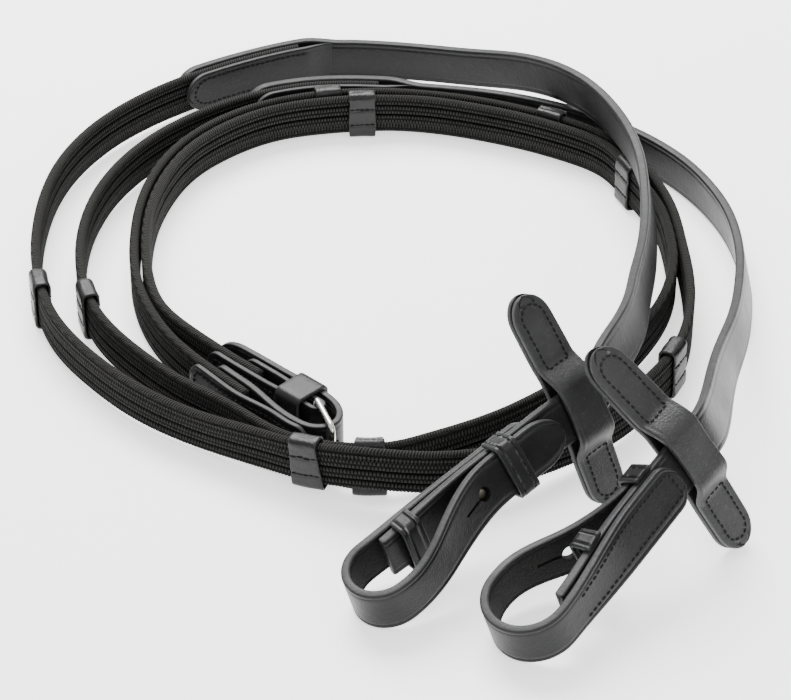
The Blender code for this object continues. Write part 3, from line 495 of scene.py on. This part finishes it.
def tube_faces(count, sides, closed=False, start=0):
    """Quads between the sections of a swept tube, and its two flat caps."""
    faces = []
    for i in range(count if closed else count - 1):
        a = start + i * sides
        b = start + ((i + 1) % count) * sides
        for k in range(sides):
            n = (k + 1) % sides
            faces.append((a + k, a + n, b + n, b + k))
    if not closed:
        faces.append(tuple(range(start, start + sides))[::-1])
        faces.append(tuple(range(start + (count - 1) * sides, start + count * sides)))
    return faces


def surface_normal(middle, along, across):
    step = 0.05
    ahead = middle(along + step, across) - middle(along - step, across)
    wide = middle(along, across + step) - middle(along, across - step)
    return unit(np.cross(wide, ahead))


def stations_for(start, end, spacing, fine=0.0):
    """Even stations, closer together in a stretch at each end."""
    even = np.linspace(start, end, max(2, int(round((end - start) / spacing))) + 1)
    if not fine:
        return even
    near = fine * np.array((0.0, 0.006, 0.025, 0.055, 0.1, 0.16, 0.24, 0.34, 0.46, 0.6, 0.78, 1.0))
    middle = even[(even > start + fine * 1.02) & (even < end - fine * 1.02)]
    return np.concatenate((start + near, middle, (end - near)[::-1]))


def strap_shape(start, end, spacing, fine, rounds, edge, width=STRAP_WIDTH):
    """A strap's stations, and its half width and share of the thickness at each.

    rounds are the lengths of its round ends, and edge that of their thinner rims.
    """
    stations = stations_for(start, end, spacing, fine)
    half = np.full(stations.shape, width / 2)
    thick = np.ones(stations.shape)
    for length, distance in zip(rounds, (stations - start, end - stations)):
        if length:
            left = np.clip((length - distance) / length, 0.0, 1.0)
            half = np.minimum(half, width / 2 * np.sqrt(np.maximum(1 - left * left, 0.002)))
        left = np.clip((edge - distance) / edge, 0.0, 1.0)
        thick = np.minimum(thick, 0.45 + 0.55 * np.sqrt(np.maximum(1 - left * left, 0.0)))
    return stations, half, thick


def leather_section(rounding, crease, depth, thickness):
    """Columns of a leather strap's section: side, inset, floor share, out, edge share, face."""
    turns, crease_half = 4, 0.45
    quarter = []
    for step in range(turns + 1):
        turn = math.pi / 2 * step / turns
        out = thickness / 2 - rounding * (1 - math.sin(turn))
        quarter.append((rounding * (1 - math.cos(turn)), 0.0, out, 1 - step / turns))
    for shift, sunk in ((-crease_half, 0.0), (0.0, depth), (crease_half, 0.0)):
        quarter.append((crease + shift, 0.0, thickness / 2 - sunk, 0.0))
    quarter += [(1 / MM, share, thickness / 2, 0.0) for share in (0.62, 0.31)]
    section = []
    for face in (1, -1):
        rising = [(1, inset, share, face * out, edge, face) for inset, share, out, edge in quarter]
        middle = [(1, 1 / MM, 0.0, face * thickness / 2, 0.0, face)]
        section += (rising + middle + [(-1, *row[1:]) for row in rising[::-1]])[::face]
    return np.array(section).T


def strap(name, middle, shape, thickness, rounding, crease, depth, material=bridle, body="reins", flesh=0):
    """A leather strap: its section swept along its middle surface.

    flesh is the face (+1 or -1) that shows the rough side of the leather.
    """
    stations, half, thick = shape
    side, inset, share, out, edge, face = leather_section(rounding, crease, depth, thickness)
    across = side * np.maximum(half[:, None] - inset, share * half[:, None])
    along = np.broadcast_to(stations[:, None], across.shape)
    points = middle(along, across) + (out * thick[:, None])[..., None] * surface_normal(middle, along, across)
    # The edge values pick out the cut edges and the ends for their paler colour, which is partly painted highlight.
    edges = np.broadcast_to(edge, across.shape).copy()
    edges[:2] = edges[-2:] = 1.0
    fleshy = np.broadcast_to((face == flesh) * (edge < 0.4), across.shape)
    return add_mesh(name + "_leather", points.reshape(-1, 3), tube_faces(*across.shape), material, body,
                    {"edge": edges, "flesh": fleshy}, replaces=name)


def cut(obj, cutter):
    """Cuts a hole through a strap, and gives the new surface its neighbours' values."""
    old = obj.data
    tree = KDTree(len(old.vertices))
    for vertex in old.vertices:
        tree.insert(vertex.co, vertex.index)
    tree.balance()
    modifier = obj.modifiers.new("cut", "BOOLEAN")
    modifier.operation = "DIFFERENCE"
    modifier.solver = "MANIFOLD"
    modifier.object = cutter
    bpy.context.view_layer.update()
    shaped = bpy.data.meshes.new_from_object(obj.evaluated_get(bpy.context.evaluated_depsgraph_get()))
    obj.modifiers.remove(modifier)
    nearest = [tree.find(vertex.co)[1] for vertex in shaped.vertices]
    for key in ("edge", "flesh"):
        data = np.zeros(len(old.vertices), dtype=np.float32)
        old.attributes[key].data.foreach_get("value", data)
        put_values(shaped, key, data[nearest])
    shaped.set_sharp_from_angle(angle=math.radians(SHARP_CUT))
    obj.data = shaped
    bpy.data.objects.remove(cutter, do_unlink=True)


def cutter_at(centre, turn):
    """Puts the primitive that was just added at a centre, turned by a rotation."""
    tool = bpy.context.object
    tool.rotation_euler = turn.to_euler()
    tool.location = (centre + ROUTE_ORIGIN) * MM
    return tool


def round_cutter(centre, axis, radius, depth):
    bpy.ops.mesh.primitive_cylinder_add(vertices=40, radius=radius * MM, depth=depth * MM)
    return cutter_at(centre, Vector(axis).to_track_quat("Z", "Y"))


def box_cutter(centre, along, across, through, sizes):
    bpy.ops.mesh.primitive_cube_add(size=1.0)
    tool = cutter_at(centre, Matrix((along, across, through)).transposed())
    tool.scale = [size * MM for size in sizes]
    return tool


def stitching(name, rows, body="reins", radius=0.36, fill=0.86, sunk=0.03, waver=0.25):
    """Threads: each stitch is a short rod that dives into the leather at both its ends.

    rows is a list of (middle surface, corners of the line, offset from the middle).
    """
    crest, dive, flat = 0.12, 0.3, 1.15
    rings = np.array((-1.0, -0.82, -0.45, 0.0, 0.45, 0.82, 1.0))
    turns = [math.pi * k / 3 for k in range(6)]
    points, faces = [], []
    rng = np.random.default_rng(7)
    for middle, corners, offset in rows:
        line = np.array(corners, dtype=float).T
        at = distances(middle(*line))
        wanted = np.linspace(0.0, at[-1], max(1, int(round(at[-1] / STITCH_PITCH))) + 1)
        along, across = (np.interp(wanted, at, places) for places in line)
        normal = surface_normal(middle, along, across) * (1 if offset > 0 else -1)
        world = middle(along, across) + abs(offset) * normal
        for a, b, n in zip(world[:-1], world[1:], normal[:-1]):
            half = (b - a) / 2
            beside = unit(np.cross(n, half))
            centre = (a + b) / 2 + beside * waver * (rng.random() - 0.5)
            start = len(points)
            for ring in rings:
                thin = radius * math.sqrt(max(1 - abs(ring) ** 3, 0.06))
                height = crest - sunk - dive * ring ** 4
                points += [centre + half * ring * fill + n * (height + thin * math.sin(turn))
                           + beside * flat * thin * math.cos(turn) for turn in turns]
            faces += tube_faces(len(rings), len(turns), start=start)
    return add_mesh(name + "_stitching", points, faces, thread, body)


def end_seam(near, end, inward, corners, closed=False):
    """A seam round a strap's end: out along one side and back along the other.

    corners are (distance from the end, place across); inward is +1 or -1 along the strap.
    """
    way = [(near, corners[0][1])] + [(end + inset * inward, across) for inset, across in corners]
    way += [(along, -across) for along, across in way[-2::-1]]
    return way + way[:1] if closed else way


def round_corner(centre, radius, quarter, steps):
    """The points of a section's round corner, and the directions out of it."""
    turn = np.radians(90 * quarter + np.linspace(0, 90, steps + 1))
    arc = np.column_stack((np.cos(turn), np.sin(turn)))
    return centre + radius * arc, arc


def wire(name, points, radius, closed):
    """A bent round wire through some points, in the buckle's metal."""
    sides = 20
    points = np.array(points)
    if closed:
        heading = unit(np.roll(points, -1, axis=0) - np.roll(points, 1, axis=0))
    else:
        heading = unit(np.gradient(points, axis=0))
    spread = np.linalg.svd(points - points.mean(axis=0))[2][2]
    beside = unit(np.cross(heading, spread))[:, None]
    turns = np.linspace(0, 2 * math.pi, sides, endpoint=False)[:, None]
    rings = points[:, None] + radius * np.cos(turns) * spread + radius * np.sin(turns) * beside
    if not closed:
        middle = rings.mean(axis=1, keepdims=True)
        ends = [middle[index] + (rings[index] - middle[index]) * share + sign * heading[index] * radius * push
                for index, sign in ((0, -1), (-1, 1)) for share, push in ((0.92, 0.35), (0.7, 0.7), (0.35, 0.93))]
        rings = np.concatenate((ends[2::-1], rings, ends[3:]))
    add_mesh(name + "_metal", rings.reshape(-1, 3), tube_faces(len(rings), sides, closed), nickel, name,
             replaces=name)


# Bit ends

def softened(part, first, last):
    """A straight climb from 0 to 1 that starts and stops gently."""
    part = np.clip(part, 0.0, 1.0)
    total = 1 - first / 2 - last / 2
    climb = np.where(part < first, part * part / (2 * first), part - first / 2) / total
    return np.where(part > 1 - last, 1 - (1 - part) ** 2 / (2 * last) / total, climb)


def loop_spread(distance, bit_end):
    """How far apart the sewn and the free side of the billet's loop are."""
    start, end = bit_end["closing"]
    closed = BILLET_LEATHER + LEATHER + SEAM + GAP + BILLET_SLACK
    return bit_end["bulge"] + (closed - bit_end["bulge"]) * softened((distance - start) / (end - start), 0.4, 0.25)


def smooth_corners(values, passes):
    """Eases a sampled line a little, with its ends kept."""
    for _ in range(passes):
        values = np.concatenate((values[:1], (values[:-2] + 2 * values[1:-1] + values[2:]) / 4, values[-1:]))
    return values


def path_surface(place, first, second, passes):
    """A middle surface from a path of two coordinates, by distance along the eased path."""
    path = np.column_stack((smooth_corners(first, passes), smooth_corners(second, passes)))
    at = distances(path)

    def middle(along, across):
        clipped = np.clip(along, 0.0, at[-1])
        step = 0.2
        tail = np.clip(clipped, step, at[-1] - step)
        spots = []
        for line in path.T:
            slope = (np.interp(tail + step, at, line) - np.interp(tail - step, at, line)) / (2 * step)
            spots.append(np.interp(clipped, at, line) + (along - clipped) * slope)
        return place(*spots, across)

    return middle, float(at[-1])


def build_billet(number, route, bit_end):
    """The bit end's loop, with its keyhole and the stitches of its sewn side."""
    side, point_at, hole_at = bit_end["side"], bit_end["point_at"], bit_end["hole_at"]
    sewn = -side * (LEATHER / 2 + SEAM + BILLET_LEATHER / 2)
    radius = bit_end["bulge"] / 2
    back = np.arange(bit_end["seam_end"], radius, -0.8)
    turn = np.linspace(0.0, math.pi, 60)
    on = np.append(np.arange(radius + 0.5, point_at, 0.8), point_at)
    along = np.concatenate((back, radius - radius * np.sin(turn), on))
    out = np.concatenate((np.full(back.shape, sewn), sewn + side * radius * (1 - np.cos(turn)),
                          sewn + side * loop_spread(on, bit_end)))
    middle, length = path_surface(route.place, along, out, 6)
    name = "billet_%d" % number
    obj = strap(name, middle, strap_shape(0.0, length, 1.1, 6, (6, 11), 0.9), BILLET_LEATHER, 0.75, 1.7, 0.2,
                flesh=-side)

    centre, slit_centre = (route.place(spot, sewn + side * loop_spread(spot, bit_end))
                           for spot in (hole_at, hole_at - HOLE_RADIUS / 2 - SLIT_LENGTH / 2))
    slit_way = unit(centre - slit_centre)
    through = unit(np.cross(slit_way, route.frames(hole_at)[3]))
    cut(obj, round_cutter(centre, through, HOLE_RADIUS, 8))
    cut(obj, box_cutter(slit_centre, slit_way, np.cross(through, slit_way), through, (SLIT_LENGTH, SLIT_WIDTH, 8)))

    row, last = 4.7, bit_end["seam_end"] - 21
    lines = [[(3.2, row), (last, row)], [(3.2, -row), (last, -row)], [(3.0, row), (3.0, -row)]]
    stitching(name, [(middle, line, side * BILLET_LEATHER / 2) for line in lines])


def build_stud(number, route, bit_end):
    point, tangent, normal, width = route.frames(STUD_AT)
    outward = bit_end["side"] * normal
    outline = [(0.02, 0.0), (2.9, 0.0), (3.15, 0.1), (3.2, 0.3), (3.1, 0.5), (2.4, 0.62), (1.5, 0.72), (1.15, 1.0),
               (1.05, 1.6), (1.05, 2.3), (1.2, 2.7), (1.6, 2.95), (1.95, 3.2), (2.08, 3.55), (2.02, 3.9), (1.8, 4.2),
               (1.4, 4.4), (0.8, 4.5), (0.02, STUD_HEIGHT)]
    turns = np.linspace(0, 2 * math.pi, 48, endpoint=False)
    base = point + (LEATHER / 2 + 0.25) * outward
    points = [base + outward * level + radius * (math.cos(t) * tangent + math.sin(t) * width)
              for radius, level in outline for t in turns]
    name = "hook_stud_%d" % number
    add_mesh(name + "_metal", points, tube_faces(len(outline), len(turns)), brass, "reins",
             sharp=SHARP_METAL, replaces=name)


def build_keeper(name, route, place, side, reach):
    """A band round the inner side of the rein; its ends are sewn under the billet."""
    half_across = STRAP_WIDTH / 2 + KEEPER_CLEARANCE + KEEPER_LEATHER / 2
    top = reach + KEEPER_LEATHER / 2
    corner = 1.6
    turn = np.linspace(0, math.pi / 2, 14)
    foot = np.linspace(-LEATHER / 2, top - corner, 12)[:-1]
    out = np.concatenate((foot, top - corner + corner * np.sin(turn)))
    across = np.concatenate((np.full(foot.shape, half_across), half_across - corner + corner * np.cos(turn)))
    flat = np.linspace(across[-1], -across[-1], 22)[1:-1]
    middle, length = path_surface(lambda off, level, shift: route.place(place + shift, side * off, level),
                                  np.concatenate((out, np.full(flat.shape, top), out[::-1])),
                                  np.concatenate((across, flat, -across[::-1])), 2)
    stations = stations_for(0.0, length, 0.7)
    shape = (stations, np.full(stations.shape, KEEPER_WIDTH / 2), np.ones(stations.shape))
    strap(name, middle, shape, KEEPER_LEATHER, 0.45, 1.2, 0.1, supple)


def build_rein_stop(number, route, bit_end):
    """Martingale stop: a base behind the rein and a bridge over it, sewn at the wings."""
    rise, end = bit_end["stop_rise"], bit_end["stop_half"]
    upper, lower = np.tan(np.radians(bit_end["wing_bend"]))
    skew = math.radians(bit_end["skew"])
    point, tangent, normal, width = route.frames(bit_end["stop_at"])

    def slope(raised):
        return np.where(raised > 0, upper, lower) * ease((np.abs(raised) - STOP_BRIDGE_HALF) / 8)

    def base_out(raised):
        under = LEATHER / 2 + STOP_BEND_ROOM + STOP_LEATHER / 2
        return under + np.maximum(np.abs(raised) - STOP_BRIDGE_HALF, 0.0) * slope(raised)

    def bridge_out(raised):
        over = -(LEATHER / 2 + STOP_CLEARANCE + STOP_LEATHER / 2)
        wing = base_out(raised) - 1.04 * STOP_LEATHER * np.hypot(1, slope(raised)) - GAP
        return over + (wing - over) * ease((np.abs(raised) - STOP_ARCH[0]) / (STOP_ARCH[1] - STOP_ARCH[0]))

    def surface(out):
        def middle(station, shift):
            raised = station + rise
            level = raised * math.cos(skew) - shift * math.sin(skew)
            forward = shift * math.cos(skew) + raised * math.sin(skew)
            return point + forward[..., None] * tangent + out(raised)[..., None] * normal + level[..., None] * width
        return middle

    stations, half, thick = strap_shape(-end, end, 0.9, STOP_ROUND, (STOP_ROUND, STOP_ROUND), 0.7, STOP_WIDTH)
    waist = 1 - 0.07 * np.exp(-((stations + rise) / 11) ** 2) - 0.05 * ease((np.abs(stations) - 16) / (end - 16))
    seam = STOP_WIDTH / 2 - 2.9
    corners = ((6.4, -seam), (4.02, -0.62 * seam), (3.0, 0.0))
    for part, out, face in (("base", base_out, -1), ("bridge", bridge_out, 1)):
        middle = surface(out)
        name, body = "rein_stop_%s_%d" % (part, number), "rein_stop_%d" % number
        strap(name, middle, (stations, half * waist, thick), STOP_LEATHER, 0.6, 1.7, 0.12, stop_leather, body, -face)
        stitching(name, [(middle, end_seam(sign * (STOP_WING_STARTS + 1.3) - rise, sign * end, -sign, corners, True),
                          face * STOP_LEATHER / 2) for sign in (1, -1)], body)


# Reins

def web_section():
    """Place across, out, row place and rib share of the corners round a web's section."""
    crest = WEB_THICKNESS / 2
    face = np.array([(place, crest - drop, place, rib) for place, drop, rib in (
        (6.6, 0.0, 1.0), (6.1, 0.22, 0.6), (5.4, 0.02, 1.0), (4.8, 0.16, 0.85), (4.4, 0.52, 0.35), (4.1, 1.0, 0.0),
        (3.75, 0.52, 0.35), (3.35, 0.16, 0.85), (2.75, 0.02, 1.0), (2.05, 0.28, 0.6), (1.35, 0.02, 1.0),
        (0.75, 0.16, 0.85), (0.35, 0.52, 0.35))])[::-1]
    share = np.arange(1, 8) / 8
    turn = math.pi * share
    side = np.column_stack((6.5 + 1.5 * np.sin(turn), 1.66 * np.cos(turn), 6.5 + 2.34 * share, np.ones(7)))
    half = np.vstack((face, side, face * (1, -1, 1, 1), (0.0, WEB_GROOVE - crest, 0.0, 0.0)))
    return np.vstack((half, half * (-1, -1, -1, 1))).T


def build_web(number, route, join):
    across, out, row, rib = web_section()
    stations = np.linspace(join, route.length, int(round((route.length - join) / (THREAD_PITCH / 2))) + 1)
    ripple, thickest = 0.05, 1.05
    beat = (1.0 - 2 * (np.arange(len(stations)) % 2))[:, None] * ripple
    phase = 1.0 - 2 * (np.floor(row / ROW_PITCH) % 2)
    edge = np.abs(across) > 6.6
    proud = beat * (phase * rib + edge)
    rng = np.random.default_rng(number)
    knots = stations[::24]
    slow = np.interp(stations, knots, rng.normal(0.0, 0.06, len(knots)))[:, None]
    scale = np.minimum(1 + (proud + slow * rib) / (WEB_THICKNESS / 2), thickest)
    along = np.broadcast_to(stations[:, None], proud.shape)
    points = route.place(along, out * scale, across + edge * np.sign(across) * (proud + slow * 0.6))
    # rib also drives the painted shade in the grooves between the ribs.
    values = {"along": along, "across": np.broadcast_to(row, proud.shape), "rib": np.broadcast_to(rib, proud.shape)}
    name = "web_%d" % number
    return add_mesh(name + "_cotton", points.reshape(-1, 3), tube_faces(*proud.shape), cotton, "reins", values,
                    replaces=name)


def band(name, route, place, length, half_out, half_across, leather, material, body, out=0.0, grooves=(), seed=0,
         corner=1.2, wrinkle=0.0):
    """A closed band of leather round a strap, with its sewn grooves."""
    corners = [round_corner(np.array(signs) * (half_out - corner, half_across - corner), corner, quarter, 6)
               for quarter, signs in enumerate(((1, 1), (-1, 1), (-1, -1), (1, -1)))]
    ring, ring_normal = [], []
    for quarter, (arc, direction) in enumerate(corners):
        goal = corners[quarter - 3][0][0]
        steps = (4, 20)[quarter % 2]
        share = np.arange(1, steps)[:, None] / steps
        ring += [arc, arc[-1] + (goal - arc[-1]) * share]
        ring_normal += [direction, np.repeat(direction[-1:], steps - 1, axis=0)]
    (ring_out, level), (normal_out, normal_level) = np.concatenate(ring).T, np.concatenate(ring_normal).T
    rng = np.random.default_rng(seed)
    half = length / 2
    rising = [(0.0, half - 0.3), (0.25, half), (0.7, half - 0.02), (0.93, half - 0.18), (1.0, half - 0.5),
              (1.0, half * 0.66), (1.0, half * 0.33)]
    section = [(0.0, 0.3 - half), (0.0, 0.0)] + rising + [(1.0, 0.0)] + [(raised, -at) for raised, at in rising[:0:-1]]
    raised, at = np.array(section).T
    top = raised > 0.5
    sunk = np.zeros(len(level))
    for groove in grooves:
        sunk += 0.42 * np.exp(-((level - groove) / 0.62) ** 2) * (np.abs(normal_out) > 0.9)
    height = raised * leather - sunk[:, None] * top
    count = np.arange(len(level))[:, None]
    if wrinkle:
        waves = sum(np.sin(count * rng.uniform(0.3, 1.1) + at * rng.uniform(-0.9, 0.9) + rng.uniform(0, 6))
                    for _ in range(4)) / 4
        height = height + wrinkle * (waves - 0.6) * top
    ragged = 1 + 0.035 * np.sin(count * 0.21 + rng.uniform(0, 6))
    points = route.place(place + at * ragged, out + ring_out[:, None] + height * normal_out[:, None],
                         level[:, None] + height * normal_level[:, None])
    # The band's cut ends take the paler edge colour, which is partly painted highlight.
    edge = np.broadcast_to(np.abs(at) > half - 0.25, height.shape)
    return add_mesh(name + "_leather", points.reshape(-1, 3), tube_faces(*height.shape, closed=True), material, body,
                    {"edge": edge, "flesh": np.zeros(height.shape)}, replaces=name)


def declare_cord(obj, route, start, end, count, **more):
    line = (route.place(np.linspace(start, end, count)) + ROUTE_ORIGIN) * MM


def build_rein(number, route, join, places):
    lap = -(WEB_THICKNESS / 2 + GAP + LEATHER / 2)
    inner = LEATHER / 2 + GAP + THIN_LEATHER / 2
    lapped = join + SPLICE_OVERLAP
    tab_start = join - SPLICE_LEAD + 4

    def front(along, across):
        return route.place(along, lap * ease((along - join + SPLICE_LEAD) / (SPLICE_LEAD - 3)), across)

    def tab(along, across):
        return route.place(along, inner - 1.85 * (1 - ease((along - tab_start) / 13)), across)

    leather = strap("front_strap_%d" % number, front, strap_shape(REIN_START, lapped, 1.5, 6, (0, 9), 0.9), LEATHER,
                    0.85, 2.0, 0.2)
    stations, half, thick = strap_shape(tab_start, lapped, 1.2, 6, (0, 9), 0.6)
    skive = ease((stations - tab_start) / 11)
    strap("splice_tab_%d" % number, tab, (stations, half * (0.97 + 0.03 * skive), thick * (0.12 + 0.88 * skive)),
          THIN_LEATHER, 0.55, 1.7, 0.1)
    seam = end_seam(join - 2, lapped, -1, ((8, 5.4), (4.2, 3.4), (3.2, 0.0)))
    stitching("splice_%d" % number, [(front, seam, -LEATHER / 2), (tab, seam, THIN_LEATHER / 2)])

    web = build_web(number, route, join)
    half_out = WEB_THICKNESS / 2 + HAND_STOP_CLEARANCE
    offset = half_out + HAND_STOP_LEATHER - 0.34
    grips = []
    for count, place in enumerate(places, start=1):
        name = "hand_stop_%d_%d" % (number, count)
        grips.append(band(name, route, place, HAND_STOP_WIDTH, half_out, STRAP_WIDTH / 2 + HAND_STOP_CLEARANCE,
                          HAND_STOP_LEATHER, grip_leather, "reins", grooves=HAND_STOP_GROOVES,
                          seed=10 * number + count, wrinkle=0.15))
        rows = [(route.place_wide, [(place - 5, across), (place + 5, across)], sign * offset)
                for across in HAND_STOP_GROOVES for sign in (1, -1)]
        grips.append(stitching(name, rows, radius=0.3, fill=1.02, sunk=0.02, waver=0.45))
    declare_cord(leather, route, REIN_START, lapped, 160)
    declare_cord(web, route, join, route.length, 340, with_pieces=grips)


# Buckle at the centre

def on_web(first, backs, out):
    """Points of a route that lies on the first web, by their distances from its end."""
    return [(*first.place(first.length - back, out), 0.0) for back in backs]


def build_point_strap(first, bar):
    points = on_web(first, (POINT_ON_WEB, 10, 0), WEB_THICKNESS / 2 + GAP + TAIL_LEATHER / 2)
    route = Route(points + [(x, y, POINT_HEIGHT, 0.0) for x, y in POINT_STRAP])
    tail = strap("point_strap", route.place_wide, strap_shape(0.0, route.length, 1.2, 5, (5, 12), 0.7), TAIL_LEATHER,
                 0.6, 2.0, 0.14)
    middle, reach, side, width = bar
    centre = middle + 11.5 * reach + TONGUE_OUT * side
    cut(tail, round_cutter(centre, reach, TONGUE_WIRE / 2 + 0.6, 9))

    points = on_web(first, (LINER_ON_WEB, 13, 0), -(WEB_THICKNESS / 2 + GAP + THIN_LEATHER / 2))
    beside = -(TAIL_LEATHER / 2 + GAP + THIN_LEATHER / 2)
    liner = Route(points + [(*route.place(route.nearest(x, y), beside), 0.0) for x, y in POINT_STRAP[:3]])
    strap("point_strap_liner", liner.place_wide, strap_shape(0.0, liner.length, 1.2, 5, (5, 5), 0.6), THIN_LEATHER,
          0.55, 1.7, 0.1)
    corners = ((4.5, 5.3), (3.0, 3.6), (2.6, 0.0))
    stitching("point_strap", [(route.place_wide, end_seam(POINT_ON_WEB + 6, 0.0, 1, corners), TAIL_LEATHER / 2),
                              (liner.place_wide, end_seam(liner.length - 4, 0.0, 1, corners), -THIN_LEATHER / 2)])


def build_chape(second):
    """The buckle strap: folded round the buckle's bar, its two sides sewn on the web."""
    centre = second.length + BAR_PAST_WEB
    wide = WEB_THICKNESS / 2 + GAP + THIN_LEATHER / 2
    fold = BUCKLE_WIRE / 2 + GAP + THIN_LEATHER / 2

    def spread(back):
        return fold + (wide - fold) * ease((back - 4) / (BAR_PAST_WEB - 8))

    outer = np.append(np.arange(CHAPE_OUTER, 0.5, -0.8), 0.3)
    turn = np.linspace(0.0, math.pi, 25)
    inner = np.append(np.arange(0.3, CHAPE_INNER, 0.8), CHAPE_INNER)
    middle, length = path_surface(lambda back, out, across: second.place(centre - back, out, across),
                                  np.concatenate((outer, -fold * np.sin(turn), inner)),
                                  np.concatenate((-spread(outer), -fold * np.cos(turn), spread(inner))), 2)
    obj = strap("chape", middle, strap_shape(0.0, length, 1.1, 6, (6, 6), 0.6), THIN_LEATHER, 0.55, 1.8, 0.1)
    point, tangent, normal, width = second.frames(second.length)
    cut(obj, box_cutter(second.place(centre + 1.1), tangent, normal, width, (10, 12, TONGUE_WIRE + 1.2)))
    corners = ((4.5, 5.3), (3.2, 3.4), (2.8, 0.0))
    stitching("chape", [(middle, end_seam(end + far * inward, end, inward, corners), -THIN_LEATHER / 2)
                        for end, inward, far in ((0.0, 1, 33), (length, -1, 21))])


def bar_frame(second):
    """The middle of the buckle's bar, and the frame's reach, side and width directions."""
    point, tangent, normal, width = second.frames(second.length)
    turn = math.radians(-FRAME_TURN)
    reach = math.cos(turn) * tangent + math.sin(turn) * normal
    side = math.cos(turn) * normal - math.sin(turn) * tangent
    return second.place(second.length + BAR_PAST_WEB), reach, side, width


def build_buckle(bar):
    middle, reach, side, width = bar
    top = FRAME_INSIDE_HEIGHT / 2 + BUCKLE_WIRE / 2
    far_corner, bar_corner = 3.0, 1.1
    outline = []
    for quarter, (x, y, radius) in enumerate(((FRAME_LENGTH, top, far_corner), (0, top, bar_corner),
                                              (0, -top, bar_corner), (FRAME_LENGTH, -top, far_corner))):
        centre = (x - radius if x else radius, y - math.copysign(radius, y))
        outline += list(round_corner(np.array(centre), radius, quarter, 8)[0])
    points = [middle + along * reach + level * width for along, level in outline]
    dense = []
    for a, b in zip(points, points[1:] + points[:1]):
        steps = max(1, int(round(np.linalg.norm(b - a) / 1.5)))
        dense += [a + (b - a) * k / steps for k in range(steps)]
    wire("buckle_frame", dense, BUCKLE_WIRE / 2, True)

    turns = np.radians(np.linspace(-215, 0, 31))
    outline = [(TONGUE_OUT * math.sin(turn), TONGUE_OUT * math.cos(turn)) for turn in turns]
    outline += [(along, TONGUE_OUT) for along in np.linspace(1.0, FRAME_LENGTH + 1.6, 16)]
    wire("buckle_tongue", [middle + along * reach + out * side for along, out in outline], TONGUE_WIRE / 2, False)


# Build everything

routes = []
for number, (bit_end, coil) in enumerate(zip(BIT_ENDS, COILS), start=1):
    route = rein_route(bit_end, coil)
    join = route.nearest(*WEB_STARTS[number - 1], after=200)
    places = [route.nearest(*spot) for spot in HAND_STOPS[number - 1]]
    build_billet(number, route, bit_end)
    build_stud(number, route, bit_end)
    upper_room = GAP + BILLET_SLACK + BILLET_LEATHER + GAP + 2 * KEEPER_CLEARANCE
    for which, place, room in (("lower", bit_end["keeper_at"], bit_end["keeper_room"]),
                               ("upper", UPPER_KEEPER_AT, upper_room)):
        build_keeper("keeper_%s_%d" % (which, number), route, place, bit_end["side"], LEATHER / 2 + room)
    build_rein_stop(number, route, bit_end)
    build_rein(number, route, join, places)
    routes.append(route)

first, second = routes
bar = bar_frame(second)
build_point_strap(first, bar)
build_chape(second)
inner = WEB_THICKNESS / 2 + 2 * GAP + THIN_LEATHER + TAIL_LEATHER + 2.4 * KEEPER_CLEARANCE
outer = WEB_THICKNESS / 2 + GAP + THIN_LEATHER + KEEPER_CLEARANCE
band("centre_keeper", second, second.length + BAR_PAST_WEB - CENTRE_KEEPER_AT, CENTRE_KEEPER_WIDTH,
     (inner + outer) / 2, STRAP_WIDTH / 2 + KEEPER_CLEARANCE, KEEPER_LEATHER, supple, "centre_keeper",
     out=(inner - outer) / 2, seed=3, corner=1.5)
build_buckle(bar)


# Floor, lights and camera

def place_in_scene(name, data, spot, target):
    """A light or a camera at a spot, turned to face its target."""
    obj = bpy.data.objects.new(name, data)
    obj.location = spot
    obj.rotation_euler = (Vector(target) - Vector(spot)).to_track_quat("-Z", "Y").to_euler()
    bpy.context.scene.collection.objects.link(obj)
    return obj


def build_stage():
    bpy.ops.mesh.primitive_grid_add(x_subdivisions=8, y_subdivisions=8, size=5.0)
    floor = bpy.context.object
    floor.name = "floor"
    floor.data.materials.append(floor_look("pale_floor"))

    n = Nodes("studio", bpy.data.worlds, "Background")
    height = n.add("SeparateXYZ", {"Vector": n.place("Generated")}).outputs["Z"]
    bpy.context.scene.world = n.finish(Color=(1.0, 1.0, 1.0, 1.0), Strength=n.span(height, 0.0, 0.9, 0.35, 1.3))

    for name, spot, size, energy in (("overhead", (-0.2, 0.75, 1.05), 0.9, 46.0),
                                     ("front", (0.6, -1.0, 0.8), 0.4, 4.0)):
        data = bpy.data.lights.new(name, "AREA")
        data.size = size
        data.energy = energy
        place_in_scene(name, data, spot, (0.0, 0.0, 0.0))

    data = bpy.data.cameras.new("camera")
    data.sensor_width = SENSOR_WIDTH
    data.lens = FOCAL_PIXELS / PICTURE_WIDTH * SENSOR_WIDTH
    target = Vector(ROUTE_ORIGIN * MM)
    elevation = math.radians(CAMERA_ELEVATION)
    spot = target + CAMERA_DISTANCE * Vector((0.0, -math.cos(elevation), math.sin(elevation)))
    bpy.context.scene.camera = place_in_scene("camera", data, spot, target)


build_stage()
bpy.context.view_layer.update()
